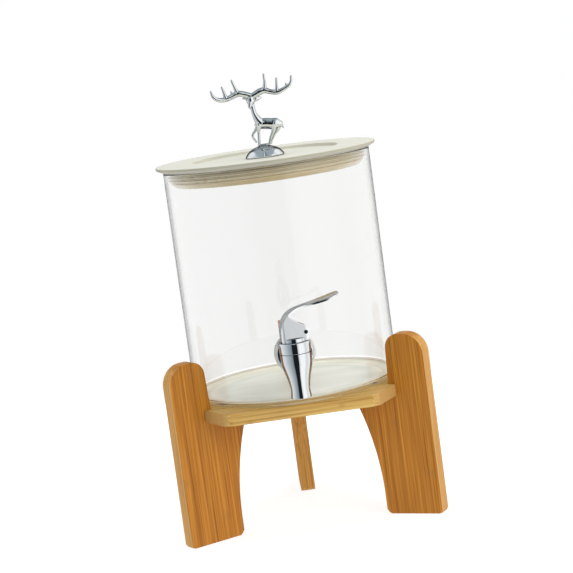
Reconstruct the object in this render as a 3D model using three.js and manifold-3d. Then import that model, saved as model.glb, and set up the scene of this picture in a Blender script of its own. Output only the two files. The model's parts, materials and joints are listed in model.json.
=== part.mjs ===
// Countertop beverage dispenser: a glass jar on a three-legged bamboo stand, with a
// cream stoppered lid, a deer-shaped chrome knob and a spring-closed chrome tap.
//
// Millimetres, +Z up. The origin is on the floor under the middle of the stand.
// The tap faces -Y. Heights are measured from the floor.

import * as THREE from 'three';
import { mergeVertices } from 'three/addons/utils/BufferGeometryUtils.js';
import Module from 'manifold-3d';

const wasm = await Module();
wasm.setup();

// ---------------------------------------------------------------- driving dimensions

const GAP = 0.3;                  // clearance left between touching pieces

const BOARD = 13;                 // bamboo leg thickness
const LEG_OUTER = 127.5;          // outer edge of a leg, from the axis
const LEG_UPPER_INNER = 93.3;     // inner edge of a leg above the shelf
const LEG_FOOT_INNER = 76;        // inner edge of a leg at the floor
const LEG_TOP = 157.6;
const LEG_TOP_OUTER = 18;         // radii of the two rounded corners at the top of a leg
const LEG_TOP_INNER = 12;
const LEG_ARCH = 227;             // radius of the hollowed inner edge below the shelf
const LEG_ARCH_Z = 15;            // height where that edge is upright
const LEG_ANGLES = { front_left: 210, front_right: 330, back: 90 };

const SHELF_TOP = 114.5;
const SHELF_THICK = 10.5;
const SHELF_BOTTOM = SHELF_TOP - SHELF_THICK;
const SHELF_CORNER = 98.5;        // distance of a cut-off corner face from the axis
const SHELF_CORNER_HALF = 42;     // half its width
const SCREW_AT = 75;              // shelf screws, from the axis

const JAR_R = 90;
const JAR_WALL = 3;
const JAR_INNER = JAR_R - JAR_WALL;
const JAR_BOTTOM = SHELF_TOP + GAP;
const JAR_FLOOR = JAR_BOTTOM + 3.2;
const JAR_TOP = 316;

const LID_R = 95.5;
const LID_UNDER = JAR_TOP + GAP;
const LID_TOP = 321;
const LID_FLOOR = 318;            // bottom of the shallow recess in the top
const RECESS_R = 63;              // the recess is round, inside a broad flat rim
const PLUG_BOTTOM = 302.3;
const PLUG_R = 84.2;

const TAP_Z = 160;                // height of the shank
const TAP_OUT = 111;              // upright axis of the tap, in front of the jar axis
const COLLAR_R = 13.3;
const COLLAR_BOTTOM = 163.3;
const COLLAR_TOP = 172.5;
const OUTLET_Z = 125.5;
const SHANK_R = 7.8;
const FLANGE_R = 15.5;
const FLANGE_FRONT = 97.5;        // distances of the flange faces in front of the jar axis
const FLANGE_BACK = 94.5;
const HEAD_TURN = 8;              // the lever points right and this far back, in degrees
const PIVOT_X = 9.7;              // lever pin, along the lever from the tap axis
const PIVOT_Z = 179.8;
const HUB_HALF = 7;               // half width of the lever hub
const CHEEK = 2;

const DOME_R = 17;
const ROUND = 48;                 // sides of the large turned pieces
const DOME_BOTTOM = LID_FLOOR + GAP;

// ---------------------------------------------------------------- materials

const finish = (color, roughness, metalness) =>
  () => new THREE.MeshStandardMaterial({ color, roughness, metalness });
const bamboo = finish(0xc8924a, 0.5, 0);
const bambooPale = finish(0xd9ab62, 0.5, 0);
const glass = finish(0xe4eae8, 0.05, 0);
const cream = finish(0xe0dccb, 0.25, 0);
const silicone = finish(0xd8d4c8, 0.6, 0);
const chrome = finish(0xccd1d5, 0.1, 1);
const steel = finish(0xa9acad, 0.35, 1);
const plastic = finish(0xe8e8e4, 0.45, 0);

// ---------------------------------------------------------------- geometry helpers

const degrees = (a) => a * Math.PI / 180;
const v2 = (x, y) => new THREE.Vector2(x, y);
const v3 = (x, y, z) => new THREE.Vector3(x, y, z);

// Points of a circular arc, angles in degrees.
function arc(cx, cy, radius, from, to, steps) {
  const points = [];
  for (let i = 0; i <= steps; i += 1) {
    const a = degrees(from + (to - from) * i / steps);
    points.push(v2(cx + radius * Math.cos(a), cy + radius * Math.sin(a)));
  }
  return points;
}

// A solid turned about +Z from a profile of (radius, height) points.
function turned(profile, segments = 48) {
  const geometry = new THREE.LatheGeometry(profile, segments);
  geometry.rotateX(Math.PI / 2);
  return geometry;
}

// An outline in X and Z, extruded along Y and centred on y = 0.
function plate(outline, width) {
  const shape = outline instanceof THREE.Shape ? outline : new THREE.Shape(outline);
  const geometry = new THREE.ExtrudeGeometry(shape, {
    depth: width, bevelEnabled: false, curveSegments: 12,
  });
  geometry.rotateX(Math.PI / 2);
  geometry.translate(0, width / 2, 0);
  return geometry;
}

function cylinder(radius, height, segments = 32) {
  const geometry = new THREE.CylinderGeometry(radius, radius, height, segments);
  geometry.rotateX(Math.PI / 2);
  return geometry;
}

// An upright cylinder on the Z axis between two heights.
function cylinderAt(radius, low, high) {
  const geometry = cylinder(radius, high - low, 20);
  geometry.translate(0, 0, (low + high) / 2);
  return geometry;
}

// A cylinder along Y between two distances in front of the axis.
function cylinderY(radius, front, back, z, segments = 32) {
  const geometry = new THREE.CylinderGeometry(radius, radius, front - back, segments);
  geometry.translate(0, -(front + back) / 2, z);
  return geometry;
}

function box(x0, x1, y0, y1, z0, z1) {
  const geometry = new THREE.BoxGeometry(x1 - x0, y1 - y0, z1 - z0);
  geometry.translate((x0 + x1) / 2, (y0 + y1) / 2, (z0 + z1) / 2);
  return geometry;
}

// A tapered tube with closed ends, bent along stations [x, y, z, radius].
function limb(stations, sides = 7, steps = 2 * (stations.length - 1)) {
  const curve = new THREE.CatmullRomCurve3(stations.map(([x, y, z]) => v3(x, y, z)));
  const frames = curve.computeFrenetFrames(steps, false);
  const last = stations.length - 1;
  const radiusAt = (t) => {
    const i = Math.min(last - 1, Math.floor(t * last));
    return THREE.MathUtils.lerp(stations[i][3], stations[i + 1][3], t * last - i);
  };
  const geometry = new THREE.CylinderGeometry(1, 1, 1, sides, steps);
  const position = geometry.attributes.position;
  for (let i = 0; i < position.count; i += 1) {
    const row = Math.round((position.getY(i) + 0.5) * steps);
    const t = row / steps;
    const point = curve.getPoint(t);
    point.addScaledVector(frames.normals[row], position.getZ(i) * radiusAt(t));
    point.addScaledVector(frames.binormals[row], position.getX(i) * radiusAt(t));
    position.setXYZ(i, point.x, point.y, point.z);
  }
  return geometry;
}

function ball(center, scale, sides = 10) {
  const geometry = new THREE.SphereGeometry(1, sides, Math.ceil(sides / 2));
  geometry.rotateX(Math.PI / 2);
  geometry.scale(scale.x, scale.y, scale.z);
  geometry.translate(center.x, center.y, center.z);
  return geometry;
}

// ---------------------------------------------------------------- booleans

function toSolid(geometry) {
  const bare = geometry.clone();
  bare.deleteAttribute('normal');
  bare.deleteAttribute('uv');
  const merged = mergeVertices(bare, 1e-4);
  return new wasm.Manifold(new wasm.Mesh({
    numProp: 3,
    vertProperties: new Float32Array(merged.attributes.position.array),
    triVerts: new Uint32Array(merged.index.array),
  }));
}

function toGeometry(solid) {
  const mesh = solid.getMesh();
  const geometry = new THREE.BufferGeometry();
  geometry.setAttribute('position', new THREE.BufferAttribute(mesh.vertProperties, 3));
  geometry.setIndex(new THREE.BufferAttribute(mesh.triVerts, 1));
  geometry.computeVertexNormals();
  return geometry;
}

function join(geometries) {
  return toGeometry(geometries.map(toSolid).reduce((sum, next) => sum.add(next)));
}

function cut(geometry, tools) {
  const left = tools.map(toSolid).reduce((rest, tool) => rest.subtract(tool), toSolid(geometry));
  return toGeometry(left);
}

function common(a, b) {
  return toGeometry(toSolid(a).intersect(toSolid(b)));
}

function node(name, geometry, material) {
  const mesh = new THREE.Mesh(geometry, material());
  mesh.name = name;
  return mesh;
}

// ---------------------------------------------------------------- stand

// A leg board: foot and shoulder below the shelf, a narrow upright outside the jar.
function legOutline() {
  const archAngle = Math.asin((SHELF_BOTTOM - GAP - LEG_ARCH_Z) / LEG_ARCH) * 180 / Math.PI;
  return [
    v2(LEG_FOOT_INNER, 0),
    v2(LEG_OUTER, 0),
    ...arc(LEG_OUTER - LEG_TOP_OUTER, LEG_TOP - LEG_TOP_OUTER, LEG_TOP_OUTER, 0, 90, 8),
    ...arc(LEG_UPPER_INNER + LEG_TOP_INNER, LEG_TOP - LEG_TOP_INNER, LEG_TOP_INNER, 90, 180, 7),
    v2(LEG_UPPER_INNER, SHELF_BOTTOM - GAP),
    ...arc(LEG_FOOT_INNER - LEG_ARCH, LEG_ARCH_Z, LEG_ARCH, archAngle, 0, 10),
  ];
}

const SCREW = { head: 4, shank: 2, point: 5, length: 32 };

// A countersunk wood screw, its head flush with z = 0.
function screwBody(slack) {
  const headDepth = SCREW.head - SCREW.shank;
  return turned([
    v2(0, -SCREW.length - slack),
    v2(0.5 + slack, -SCREW.length - slack),
    v2(SCREW.shank + slack, -SCREW.length + SCREW.point),
    v2(SCREW.shank + slack, -headDepth - slack),
    v2(SCREW.head + slack, -slack),
    v2(SCREW.head + slack, slack ? 1 : -0.2),
    v2(0, slack ? 1 : -0.2),
  ], 20);
}

function leg(name, angle) {
  const hole = screwBody(GAP);
  hole.translate(SCREW_AT, 0, SHELF_TOP);
  const mesh = node(name, cut(plate(legOutline(), BOARD), [hole]), bamboo);
  mesh.rotation.z = degrees(angle);
  return mesh;
}

// A triangle with its corners cut off, slotted at each corner for the leg upright.
function shelf() {
  const outline = [];
  const corners = Object.values(LEG_ANGLES).sort((a, b) => a - b);
  for (const angle of corners) {
    for (const side of [-1, 1]) {
      const corner = v2(SHELF_CORNER, side * SHELF_CORNER_HALF);
      outline.push(corner.rotateAround(v2(0, 0), degrees(angle)));
    }
  }
  const slab = new THREE.ExtrudeGeometry(new THREE.Shape(outline), {
    depth: SHELF_THICK, bevelEnabled: false,
  });
  slab.translate(0, 0, SHELF_BOTTOM);
  const tools = [];
  for (const angle of corners) {
    const half = BOARD / 2 + GAP;
    const slot = box(LEG_UPPER_INNER - GAP, SHELF_CORNER + 5, -half, half, 0, LEG_TOP);
    const hole = screwBody(GAP);
    hole.translate(SCREW_AT, 0, SHELF_TOP);
    for (const tool of [slot, hole]) {
      tool.rotateZ(degrees(angle));
      tools.push(tool);
    }
  }
  return node('shelf', cut(slab, tools), bambooPale);
}

function shelfScrew(name, angle) {
  const driverCross = [box(-2.2, 2.2, -0.4, 0.4, -1.2, 1), box(-0.4, 0.4, -2.2, 2.2, -1.2, 1)];
  const mesh = node(name, cut(screwBody(0), driverCross), steel);
  mesh.rotation.z = degrees(angle);
  mesh.position.set(SCREW_AT, 0, SHELF_TOP).applyAxisAngle(v3(0, 0, 1), degrees(angle));
  return mesh;
}

// ---------------------------------------------------------------- jar

function glassJar() {
  const heel = 6;
  const innerHeel = 5;
  const rim = JAR_WALL / 2;
  const profile = [
    v2(0, JAR_BOTTOM + 0.8),
    v2(62, JAR_BOTTOM + 0.8),
    v2(68, JAR_BOTTOM),
    ...arc(JAR_R - heel, JAR_BOTTOM + heel, heel, -90, 0, 5),
    ...arc(JAR_R - rim, JAR_TOP - rim, rim, 0, 180, 6),
    ...arc(JAR_INNER - innerHeel, JAR_FLOOR + innerHeel, innerHeel, 0, -90, 4),
    v2(0, JAR_FLOOR),
  ];
  const tapHole = cylinderY(SHANK_R + 0.5, JAR_R + 4, JAR_INNER - 8, TAP_Z, 32);
  return node('glass_jar', cut(turned(profile, ROUND), [tapHole]), glass);
}

// ---------------------------------------------------------------- tap, fixed pieces

function tapBody() {
  const neckR = 10.6;
  const neckTop = 168.8;
  const boreR = 5.2;
  const chamberR = 7.2;
  const seatZ = 151;
  const waist = new THREE.SplineCurve([
    v2(7.6, OUTLET_Z), v2(8.5, OUTLET_Z + 1.6), v2(8.0, 131.5), v2(8.3, 136),
    v2(9.4, 141.7), v2(11.2, 148), v2(12.7, 154.5), v2(COLLAR_R - 0.1, COLLAR_BOTTOM - GAP),
  ]).getPoints(9);
  const vase = turned([
    v2(0, OUTLET_Z), ...waist,
    v2(neckR, COLLAR_BOTTOM - GAP), v2(neckR, neckTop), v2(0, neckTop),
  ], 32);
  const passage = turned([
    v2(0, OUTLET_Z - 1), v2(boreR + 0.6, OUTLET_Z - 1), v2(boreR, OUTLET_Z + 2), v2(boreR, seatZ),
    v2(chamberR, seatZ + 2), v2(chamberR, neckTop + 1), v2(0, neckTop + 1),
  ], 32);
  for (const upright of [vase, passage]) {
    upright.translate(0, -TAP_OUT, 0);
  }
  const shankEnd = 71;
  const body = join([
    vase,
    cylinderY(FLANGE_R, FLANGE_FRONT, FLANGE_BACK, TAP_Z),
    cylinderY(8.5, TAP_OUT - 6, FLANGE_BACK, 154),
    cylinderY(SHANK_R, FLANGE_FRONT - 1, shankEnd, TAP_Z),
  ]);
  const shankBore = cylinderY(3.8, TAP_OUT, shankEnd - 1, TAP_Z - 1.8, 24);
  return node('tap_body', cut(body, [passage, shankBore]), chrome);
}

// Silicone washers that are flat on one face and hollowed to the jar wall on the other.
function gasket(name, radius, flatFace, jarSide) {
  const reach = 100;
  const wall = turned([
    v2(0, TAP_Z - reach), v2(jarSide.radius, TAP_Z - reach),
    v2(jarSide.radius, TAP_Z + reach), v2(0, TAP_Z + reach),
  ], 120);
  const hole = cylinderY(SHANK_R + GAP, JAR_R + 30, JAR_R - 50, TAP_Z, 32);
  if (jarSide.outside) {
    const disc = cylinderY(radius, flatFace, JAR_R - 6, TAP_Z);
    return node(name, cut(disc, [wall, hole]), silicone);
  }
  const disc = cylinderY(radius, JAR_R, flatFace, TAP_Z);
  return node(name, cut(common(disc, wall), [hole]), silicone);
}

function backWasher() {
  const front = 82.6;
  const back = 81.2;
  const washer = cylinderY(13.5, front, back, TAP_Z);
  const hole = cylinderY(SHANK_R + GAP, front + 5, back - 5, TAP_Z);
  return node('tap_back_washer', cut(washer, [hole]), plastic);
}

function backNut() {
  const hexR = 13.2;
  const front = 80.9;
  const thickness = 7;
  const hex = new THREE.CylinderGeometry(hexR, hexR, thickness, 6);
  hex.translate(0, -(front - thickness / 2), TAP_Z);
  const hole = cylinderY(SHANK_R + GAP, front + 5, front - thickness - 5, TAP_Z);
  return node('tap_back_nut', cut(hex, [hole]), plastic);
}

// ---------------------------------------------------------------- tap head
// The head's own frame: the upright tap axis is x = y = 0, the lever points along +X.

function bonnetGasket() {
  return node('tap_bonnet_gasket', turned([
    v2(7.4, 169.1), v2(10.5, 169.1), v2(10.5, 169.8), v2(7.4, 169.8), v2(7.4, 169.1),
  ], 32), silicone);
}

function bonnet() {
  const capUnder = 170.1;
  const skirtInner = 10.9;
  const edge = 0.7;
  const postHalf = 2.8;
  const cap = turned([
    v2(0, capUnder), v2(skirtInner, capUnder), v2(skirtInner, COLLAR_BOTTOM),
    v2(COLLAR_R - edge, COLLAR_BOTTOM), v2(COLLAR_R, COLLAR_BOTTOM + edge),
    v2(COLLAR_R, COLLAR_TOP - edge), v2(COLLAR_R - edge, COLLAR_TOP), v2(0, COLLAR_TOP),
  ], 36);
  const post = plate([
    v2(PIVOT_X - postHalf, COLLAR_TOP - 1), v2(PIVOT_X + postHalf, COLLAR_TOP - 1),
    ...arc(PIVOT_X, PIVOT_Z, postHalf, 0, 180, 8),
  ], 2 * (HUB_HALF - CHEEK - 0.4));
  const stemHole = cylinder(2.9, 40, 24);
  stemHole.translate(0, 0, COLLAR_TOP);
  const pinHole = new THREE.CylinderGeometry(1.7, 1.7, 40, 20);
  pinHole.translate(PIVOT_X, 0, PIVOT_Z);
  return node('tap_bonnet', cut(join([cap, post]), [stemHole, pinHole]), chrome);
}

function leverPin() {
  const geometry = new THREE.CylinderGeometry(1.4, 1.4, 2 * HUB_HALF - 0.8, 20);
  geometry.translate(PIVOT_X, 0, PIVOT_Z);
  return node('tap_lever_pin', geometry, steel);
}

// Centre line of the lever strip seen from the side, from its heel up and out to its tip.
const LEVER_LINE = [
  v2(-8.6, 172.9), v2(-8.7, 181), v2(-7.1, 188.5), v2(-3.3, 194.4), v2(3, 198.3),
  v2(11.6, 200.5), v2(22.3, 202.1), v2(32, 204), v2(41.6, 206.8),
];

// The strip's side outline: the centre line moved out and in by half the thickness.
function stripOutline(steps) {
  const curve = new THREE.SplineCurve(LEVER_LINE);
  const outer = [];
  const inner = [];
  for (let i = 0; i <= steps; i += 1) {
    const t = i / steps;
    const point = curve.getPoint(t);
    const tangent = curve.getTangent(t);
    const half = 1.7 - 0.6 * Math.min(1, t * 2) - 0.35 * Math.max(0, (t - 0.8) * 5);
    outer.push(v2(point.x - tangent.y * half, point.y + tangent.x * half));
    inner.push(v2(point.x + tangent.y * half, point.y - tangent.x * half));
  }
  return [...inner, ...outer.reverse()];
}

// Top view of the strip: as wide as the hub, drawn in, then a rounded paddle.
function stripPlan() {
  const heel = -14;
  const neck = 4.7;
  const paddle = 6.5;
  const tip = 42.4;
  const shape = new THREE.Shape();
  shape.moveTo(heel, -HUB_HALF);
  shape.lineTo(-3, -HUB_HALF);
  shape.bezierCurveTo(4, -HUB_HALF, 8, -neck, 15, -neck);
  shape.bezierCurveTo(22, -neck, 28, -paddle, 34, -paddle);
  shape.bezierCurveTo(39.5, -paddle, tip, -3.5, tip, 0);
  shape.bezierCurveTo(tip, 3.5, 39.5, paddle, 34, paddle);
  shape.bezierCurveTo(28, paddle, 22, neck, 15, neck);
  shape.bezierCurveTo(8, neck, 4, HUB_HALF, -3, HUB_HALF);
  shape.lineTo(heel, HUB_HALF);
  const geometry = new THREE.ExtrudeGeometry(shape, {
    depth: 60, bevelEnabled: false, curveSegments: 6,
  });
  geometry.translate(0, 0, COLLAR_TOP - 10);
  return geometry;
}

// Lever: two cheeks on the pin, a roof, a heel strip that sweeps over into the blade,
// and inside a forked ledge that hooks under the head of the stem.
function lever() {
  const hubFront = 12.4;
  const hubBottom = COLLAR_TOP + GAP;
  const corner = 3;
  const roofLow = 184.3;
  const roofHigh = 189.8;
  const cheekOutline = [
    v2(-8.4, hubBottom),
    ...arc(hubFront - corner, hubBottom + corner, corner, -90, 0, 6),
    ...arc(hubFront - 1.5, roofLow - 1.5, 1.5, 0, 68, 3),
    v2(-1.5, roofHigh),
    v2(-5.4, 189),
    v2(-7, 184),
    v2(-7.8, 178),
  ];
  const cheeks = [-1, 1].map((side) => {
    const geometry = plate(cheekOutline, CHEEK);
    geometry.translate(0, side * (HUB_HALF - CHEEK / 2), 0);
    return geometry;
  });
  const roof = plate([
    v2(-6, 187.4), v2(-1.7, 187.7), v2(9.3, 183.3),
    v2(9.9, 185.2), v2(-1.5, roofHigh), v2(-5.4, 189.3),
  ], 2 * HUB_HALF - 1);
  const ledgeTop = PIVOT_Z - 2;
  const ledge = box(-7.4, 5.2, -HUB_HALF + 1, HUB_HALF - 1, ledgeTop - 2.5, ledgeTop);
  const strip = common(plate(stripOutline(28), 2 * HUB_HALF), stripPlan());
  const fork = box(-2.6, 8, -1.9, 1.9, ledgeTop - 5, ledgeTop + 2);
  const pinHole = new THREE.CylinderGeometry(1.7, 1.7, 40, 20);
  pinHole.translate(PIVOT_X, 0, PIVOT_Z);
  return node('tap_lever', cut(join([strip, ...cheeks, roof, ledge]), [fork, pinHole]), chrome);
}

const STEM_TIP = 153.4;

function stem() {
  const head = 3.3;
  const headCenter = PIVOT_Z - 2 + head + GAP;
  return node('tap_stem', turned([
    v2(0, STEM_TIP), v2(2.2, STEM_TIP), v2(2.2, 156.4), v2(5, 156.41), v2(5, 158), v2(2.5, 158),
    v2(2.5, 173.4), v2(1.5, 174.4), ...arc(0, headCenter, head, -63, 90, 6),
  ], 18), steel);
}

// Silicone stopper on the foot of the stem; its cone closes the outlet.
function stemSeal() {
  return node('tap_stem_seal', turned([
    v2(2.5, 153), v2(4.6, 152.2), v2(6.6, 154.2), v2(6.6, 156.1), v2(2.5, 156.1), v2(2.5, 153),
  ], 28), silicone);
}

class Helix extends THREE.Curve {
  constructor(radius, low, high, turns) {
    super();
    this.radius = radius;
    this.low = low;
    this.high = high;
    this.turns = turns;
  }

  getPoint(t, target = new THREE.Vector3()) {
    const a = 2 * Math.PI * this.turns * t;
    const z = this.low + (this.high - this.low) * t;
    return target.set(this.radius * Math.cos(a), this.radius * Math.sin(a), z);
  }
}

function spring() {
  const wire = 0.45;
  const section = new THREE.Shape(arc(0, 0, wire, 0, 288, 4));
  const path = new Helix(4.1, 158.3 + wire, 170.1 - GAP - wire, 4);
  const geometry = new THREE.ExtrudeGeometry(section, {
    steps: 64, extrudePath: path, bevelEnabled: false,
  });
  return node('tap_spring', geometry, steel);
}

// ---------------------------------------------------------------- lid

function lidCover() {
  const holeR = 2.1;
  return node('lid_cover', cut(turned([
    v2(0, LID_UNDER - 0.2), v2(88, LID_UNDER - 0.2), v2(JAR_R + 0.6, LID_UNDER),
    v2(LID_R - 0.5, 318.4), v2(LID_R, 319), v2(LID_R, LID_TOP - 1), v2(LID_R - 0.3, LID_TOP - 0.3),
    v2(LID_R - 1, LID_TOP), v2(RECESS_R + 1, LID_TOP), v2(RECESS_R, LID_TOP - 0.5),
    v2(RECESS_R - 1.5, LID_FLOOR + 0.4), v2(RECESS_R - 2.6, LID_FLOOR), v2(0, LID_FLOOR),
  ], ROUND), [cylinderAt(holeR, LID_UNDER - 10, LID_TOP + 10)]), cream);
}

// A shallow cup under the cover, with a groove round it for the seal.
function lidPlug() {
  const top = LID_UNDER - 0.5;
  const wall = 2;
  const groove = 1.4;
  const innerBottom = PLUG_BOTTOM + wall;
  return node('lid_plug', turned([
    v2(0, PLUG_BOTTOM), v2(80.4, PLUG_BOTTOM),
    ...arc(80.4, PLUG_BOTTOM + 3.8, 3.8, -60, 0, 3),
    v2(PLUG_R, 307.2), v2(PLUG_R - groove, 307.2), v2(PLUG_R - groove, 314.2), v2(PLUG_R, 314.2),
    v2(PLUG_R, top), v2(PLUG_R - groove - wall, top),
    v2(PLUG_R - groove - wall, innerBottom + 1.5), v2(PLUG_R - groove - wall - 1.5, innerBottom),
    v2(0, innerBottom),
  ], ROUND), cream);
}

// Silicone ring in the groove, with two ribs that wipe the inside of the jar.
function lidSeal() {
  const inner = PLUG_R - 1.4 + GAP;
  const low = 307.5;
  const high = 313.9;
  const band = PLUG_R + 0.6;
  const rib = JAR_INNER - GAP;
  return node('lid_seal', turned([
    v2(inner, low), v2(band, low), v2(band, low + 0.9), v2(rib, low + 1.5), v2(rib, low + 2.1),
    v2(band, low + 2.7), v2(band, low + 3.7), v2(rib, low + 4.3), v2(rib, low + 4.9),
    v2(band, low + 5.5), v2(band, high), v2(inner, high), v2(inner, low),
  ], ROUND), silicone);
}

// ---------------------------------------------------------------- knob

const PEG_R = 3;
const DOME_TOP = 327.9;

function knobBase() {
  const crown = new THREE.SplineCurve([
    v2(DOME_R, DOME_BOTTOM + 0.8), v2(16.1, 320.6), v2(13.8, 323.4),
    v2(10.8, 325.4), v2(7.2, 326.9), v2(PEG_R + 1.3, DOME_TOP - 0.1),
  ]).getPoints(8);
  return node('knob_base', turned([
    v2(PEG_R + GAP, DOME_BOTTOM), v2(DOME_R - 0.5, DOME_BOTTOM), ...crown,
    v2(PEG_R + GAP, DOME_TOP), v2(PEG_R + GAP, DOME_BOTTOM),
  ], 40), chrome);
}

// A stag in profile, head to the left and turned to the front, one forefoot raised.
function knobDeer() {
  const near = -1.6;
  const far = 1.6;
  const trunk = limb([
    [-4.6, 0, 345.4, 1.8], [-1, 0, 346.4, 4.3], [4, 0, 346.2, 4.8], [9, 0, 345.4, 4.8],
    [13.2, 0, 345.2, 4.6], [17.6, 0, 344.2, 1.8],
  ], 10, 12);
  trunk.scale(1, 0.8, 1);
  const neck = limb([
    [0.5, 0, 346.8, 4], [-2.2, -0.2, 350.6, 3.3], [-4.3, -0.4, 355.8, 2.2],
    [-5.2, -0.8, 361.5, 2.1], [-5.8, -1, 366, 2.4],
  ]);
  const head = [
    ball(v3(-6, -1.4, 367.9), v3(3.4, 3.2, 4.1)),
    limb([[-6, -1.6, 368, 2.4], [-6.8, -3.2, 365, 2.1], [-7.6, -4.8, 361.8, 1.3]]),
    limb([[-6.6, -0.8, 369, 1.4], [-9, -0.4, 370, 1.6], [-11.8, -0.6, 370.2, 0.6]], 5),
    limb([[-4.6, -0.8, 368, 1.5], [-0.8, -0.4, 368.9, 1.8], [2.9, -0.6, 369, 0.6]], 5),
  ];
  const legs = [
    limb([
      [-1.8, near, 345.5, 2.4], [-2.7, near, 341.6, 1.6], [-3.1, near, 336.2, 1.2],
      [-3.7, near, 328, 1.3],
    ]),
    limb([[-2.4, far, 345, 2], [-5.8, far, 340.9, 1.2], [-8.4, far, 336.9, 1.1], [-6, far, 331, 0.9]]),
    limb([[12, near, 345, 2.8], [10, near, 339.4, 1.7], [6.9, near, 333.7, 1.2], [5.4, near, 328, 1.3]]),
    limb([[14.6, far, 345, 2.8], [14.4, far, 340.2, 1.7], [11.2, far, 336.6, 1.2], [6.4, far, 328, 1.1]]),
    limb([[15.6, 0, 346, 2], [19.3, 0, 340.2, 0.6]], 5),
  ];
  const cup = (x) => -1 - 5 * ((x + 4) / 36) ** 2;
  const antler = (points) => {
    const stations = points.map(([x, z, radius]) => [x, cup(x), z, radius]);
    return limb(stations, 6, 2 * points.length - 3);
  };
  const antlers = [
    antler([
      [-4.5, 371, 2.1], [-10.6, 373.8, 2.2], [-16.1, 375, 2.2], [-22, 373, 2],
      [-27.8, 371.3, 1.8], [-34, 372.1, 1.6], [-37.6, 375, 1.2], [-39, 380, 0.7],
    ]),
    antler([[-16.4, 375, 1.7], [-18.4, 381, 1], [-20.1, 387.1, 0.6]]),
    antler([[-26.8, 371.8, 1.6], [-28, 377.6, 1], [-29.2, 382.5, 0.6]]),
    antler([[-20.6, 373.6, 1.4], [-21.8, 377.4, 0.5]]),
    antler([
      [-4.5, 371, 2.1], [-1.8, 372.4, 2.2], [2.9, 374.5, 2.4], [7, 375, 2.2], [11.7, 373.1, 1.9],
      [17.2, 371.8, 1.8], [21.9, 373.1, 1.6], [27.9, 376.3, 1.3], [31, 384.2, 0.7],
    ]),
    antler([[7.1, 375, 1.7], [8, 382, 1], [7.9, 388.4, 0.6]]),
    antler([[17.3, 371.9, 1.6], [17.9, 378, 1], [18.3, 383.9, 0.6]]),
    antler([[26.2, 375, 1.2], [25.7, 378.2, 0.5]]),
  ];
  const plinthBottom = DOME_TOP + GAP;
  const plinth = ball(v3(0.6, 0, plinthBottom + 0.2), v3(7, 3.2, 1.4), 16);
  const underPlinth = box(-14, 16, -8, 8, plinthBottom - 10, plinthBottom);
  const base = cut(join([plinth, ...legs]), [underPlinth]);
  const peg = cylinderAt(PEG_R, DOME_BOTTOM + 0.6, plinthBottom + 0.6);
  const screwHole = cylinderAt(1.9, 310, 327);
  const figure = join([base, peg, trunk, neck, ...head, ...antlers]);
  return node('knob_deer', cut(figure, [screwHole]), chrome);
}

function knobScrew() {
  const headBottom = 312.9;
  const headTop = 314.8;
  return node('knob_screw', cut(turned([
    v2(0, headBottom), v2(2.6, headBottom), v2(3.4, headBottom + 0.7), v2(3.4, headTop),
    v2(1.6, headTop), v2(1.6, 325.5), v2(1.1, 326.2), v2(0, 326.2),
  ], 24), [box(-2, 2, -0.4, 0.4, 310, 313.8)]), steel);
}

function knobWasher() {
  const low = 315.1;
  const high = 315.8;
  return node('knob_washer', turned([
    v2(2, low), v2(6, low), v2(6, high), v2(2, high), v2(2, low),
  ], 28), steel);
}

// ---------------------------------------------------------------- assembly

const dispenser = new THREE.Group();

for (const [place, angle] of Object.entries(LEG_ANGLES)) {
  dispenser.add(leg(`leg_${place}`, angle));
  dispenser.add(shelfScrew(`shelf_screw_${place}`, angle));
}
dispenser.add(shelf());
dispenser.add(glassJar());
dispenser.add(tapBody());
const outside = { radius: JAR_R + GAP, outside: true };
const inside = { radius: JAR_INNER - GAP, outside: false };
dispenser.add(gasket('tap_gasket_outer', 17.3, FLANGE_BACK - GAP, outside));
dispenser.add(gasket('tap_gasket_inner', 14.5, 82.9, inside));
dispenser.add(backWasher());
dispenser.add(backNut());

const tapHead = new THREE.Group();
tapHead.position.set(0, -TAP_OUT, 0);
tapHead.rotation.z = degrees(HEAD_TURN);
tapHead.add(bonnet(), bonnetGasket(), leverPin(), lever(), stem(), stemSeal(), spring());
dispenser.add(tapHead);

dispenser.add(lidCover(), lidPlug(), lidSeal());
dispenser.add(knobBase(), knobDeer(), knobScrew(), knobWasher());

export default dispenser;
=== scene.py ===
import json
import math

import bmesh
import bpy
from mathutils import Matrix, Vector

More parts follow.
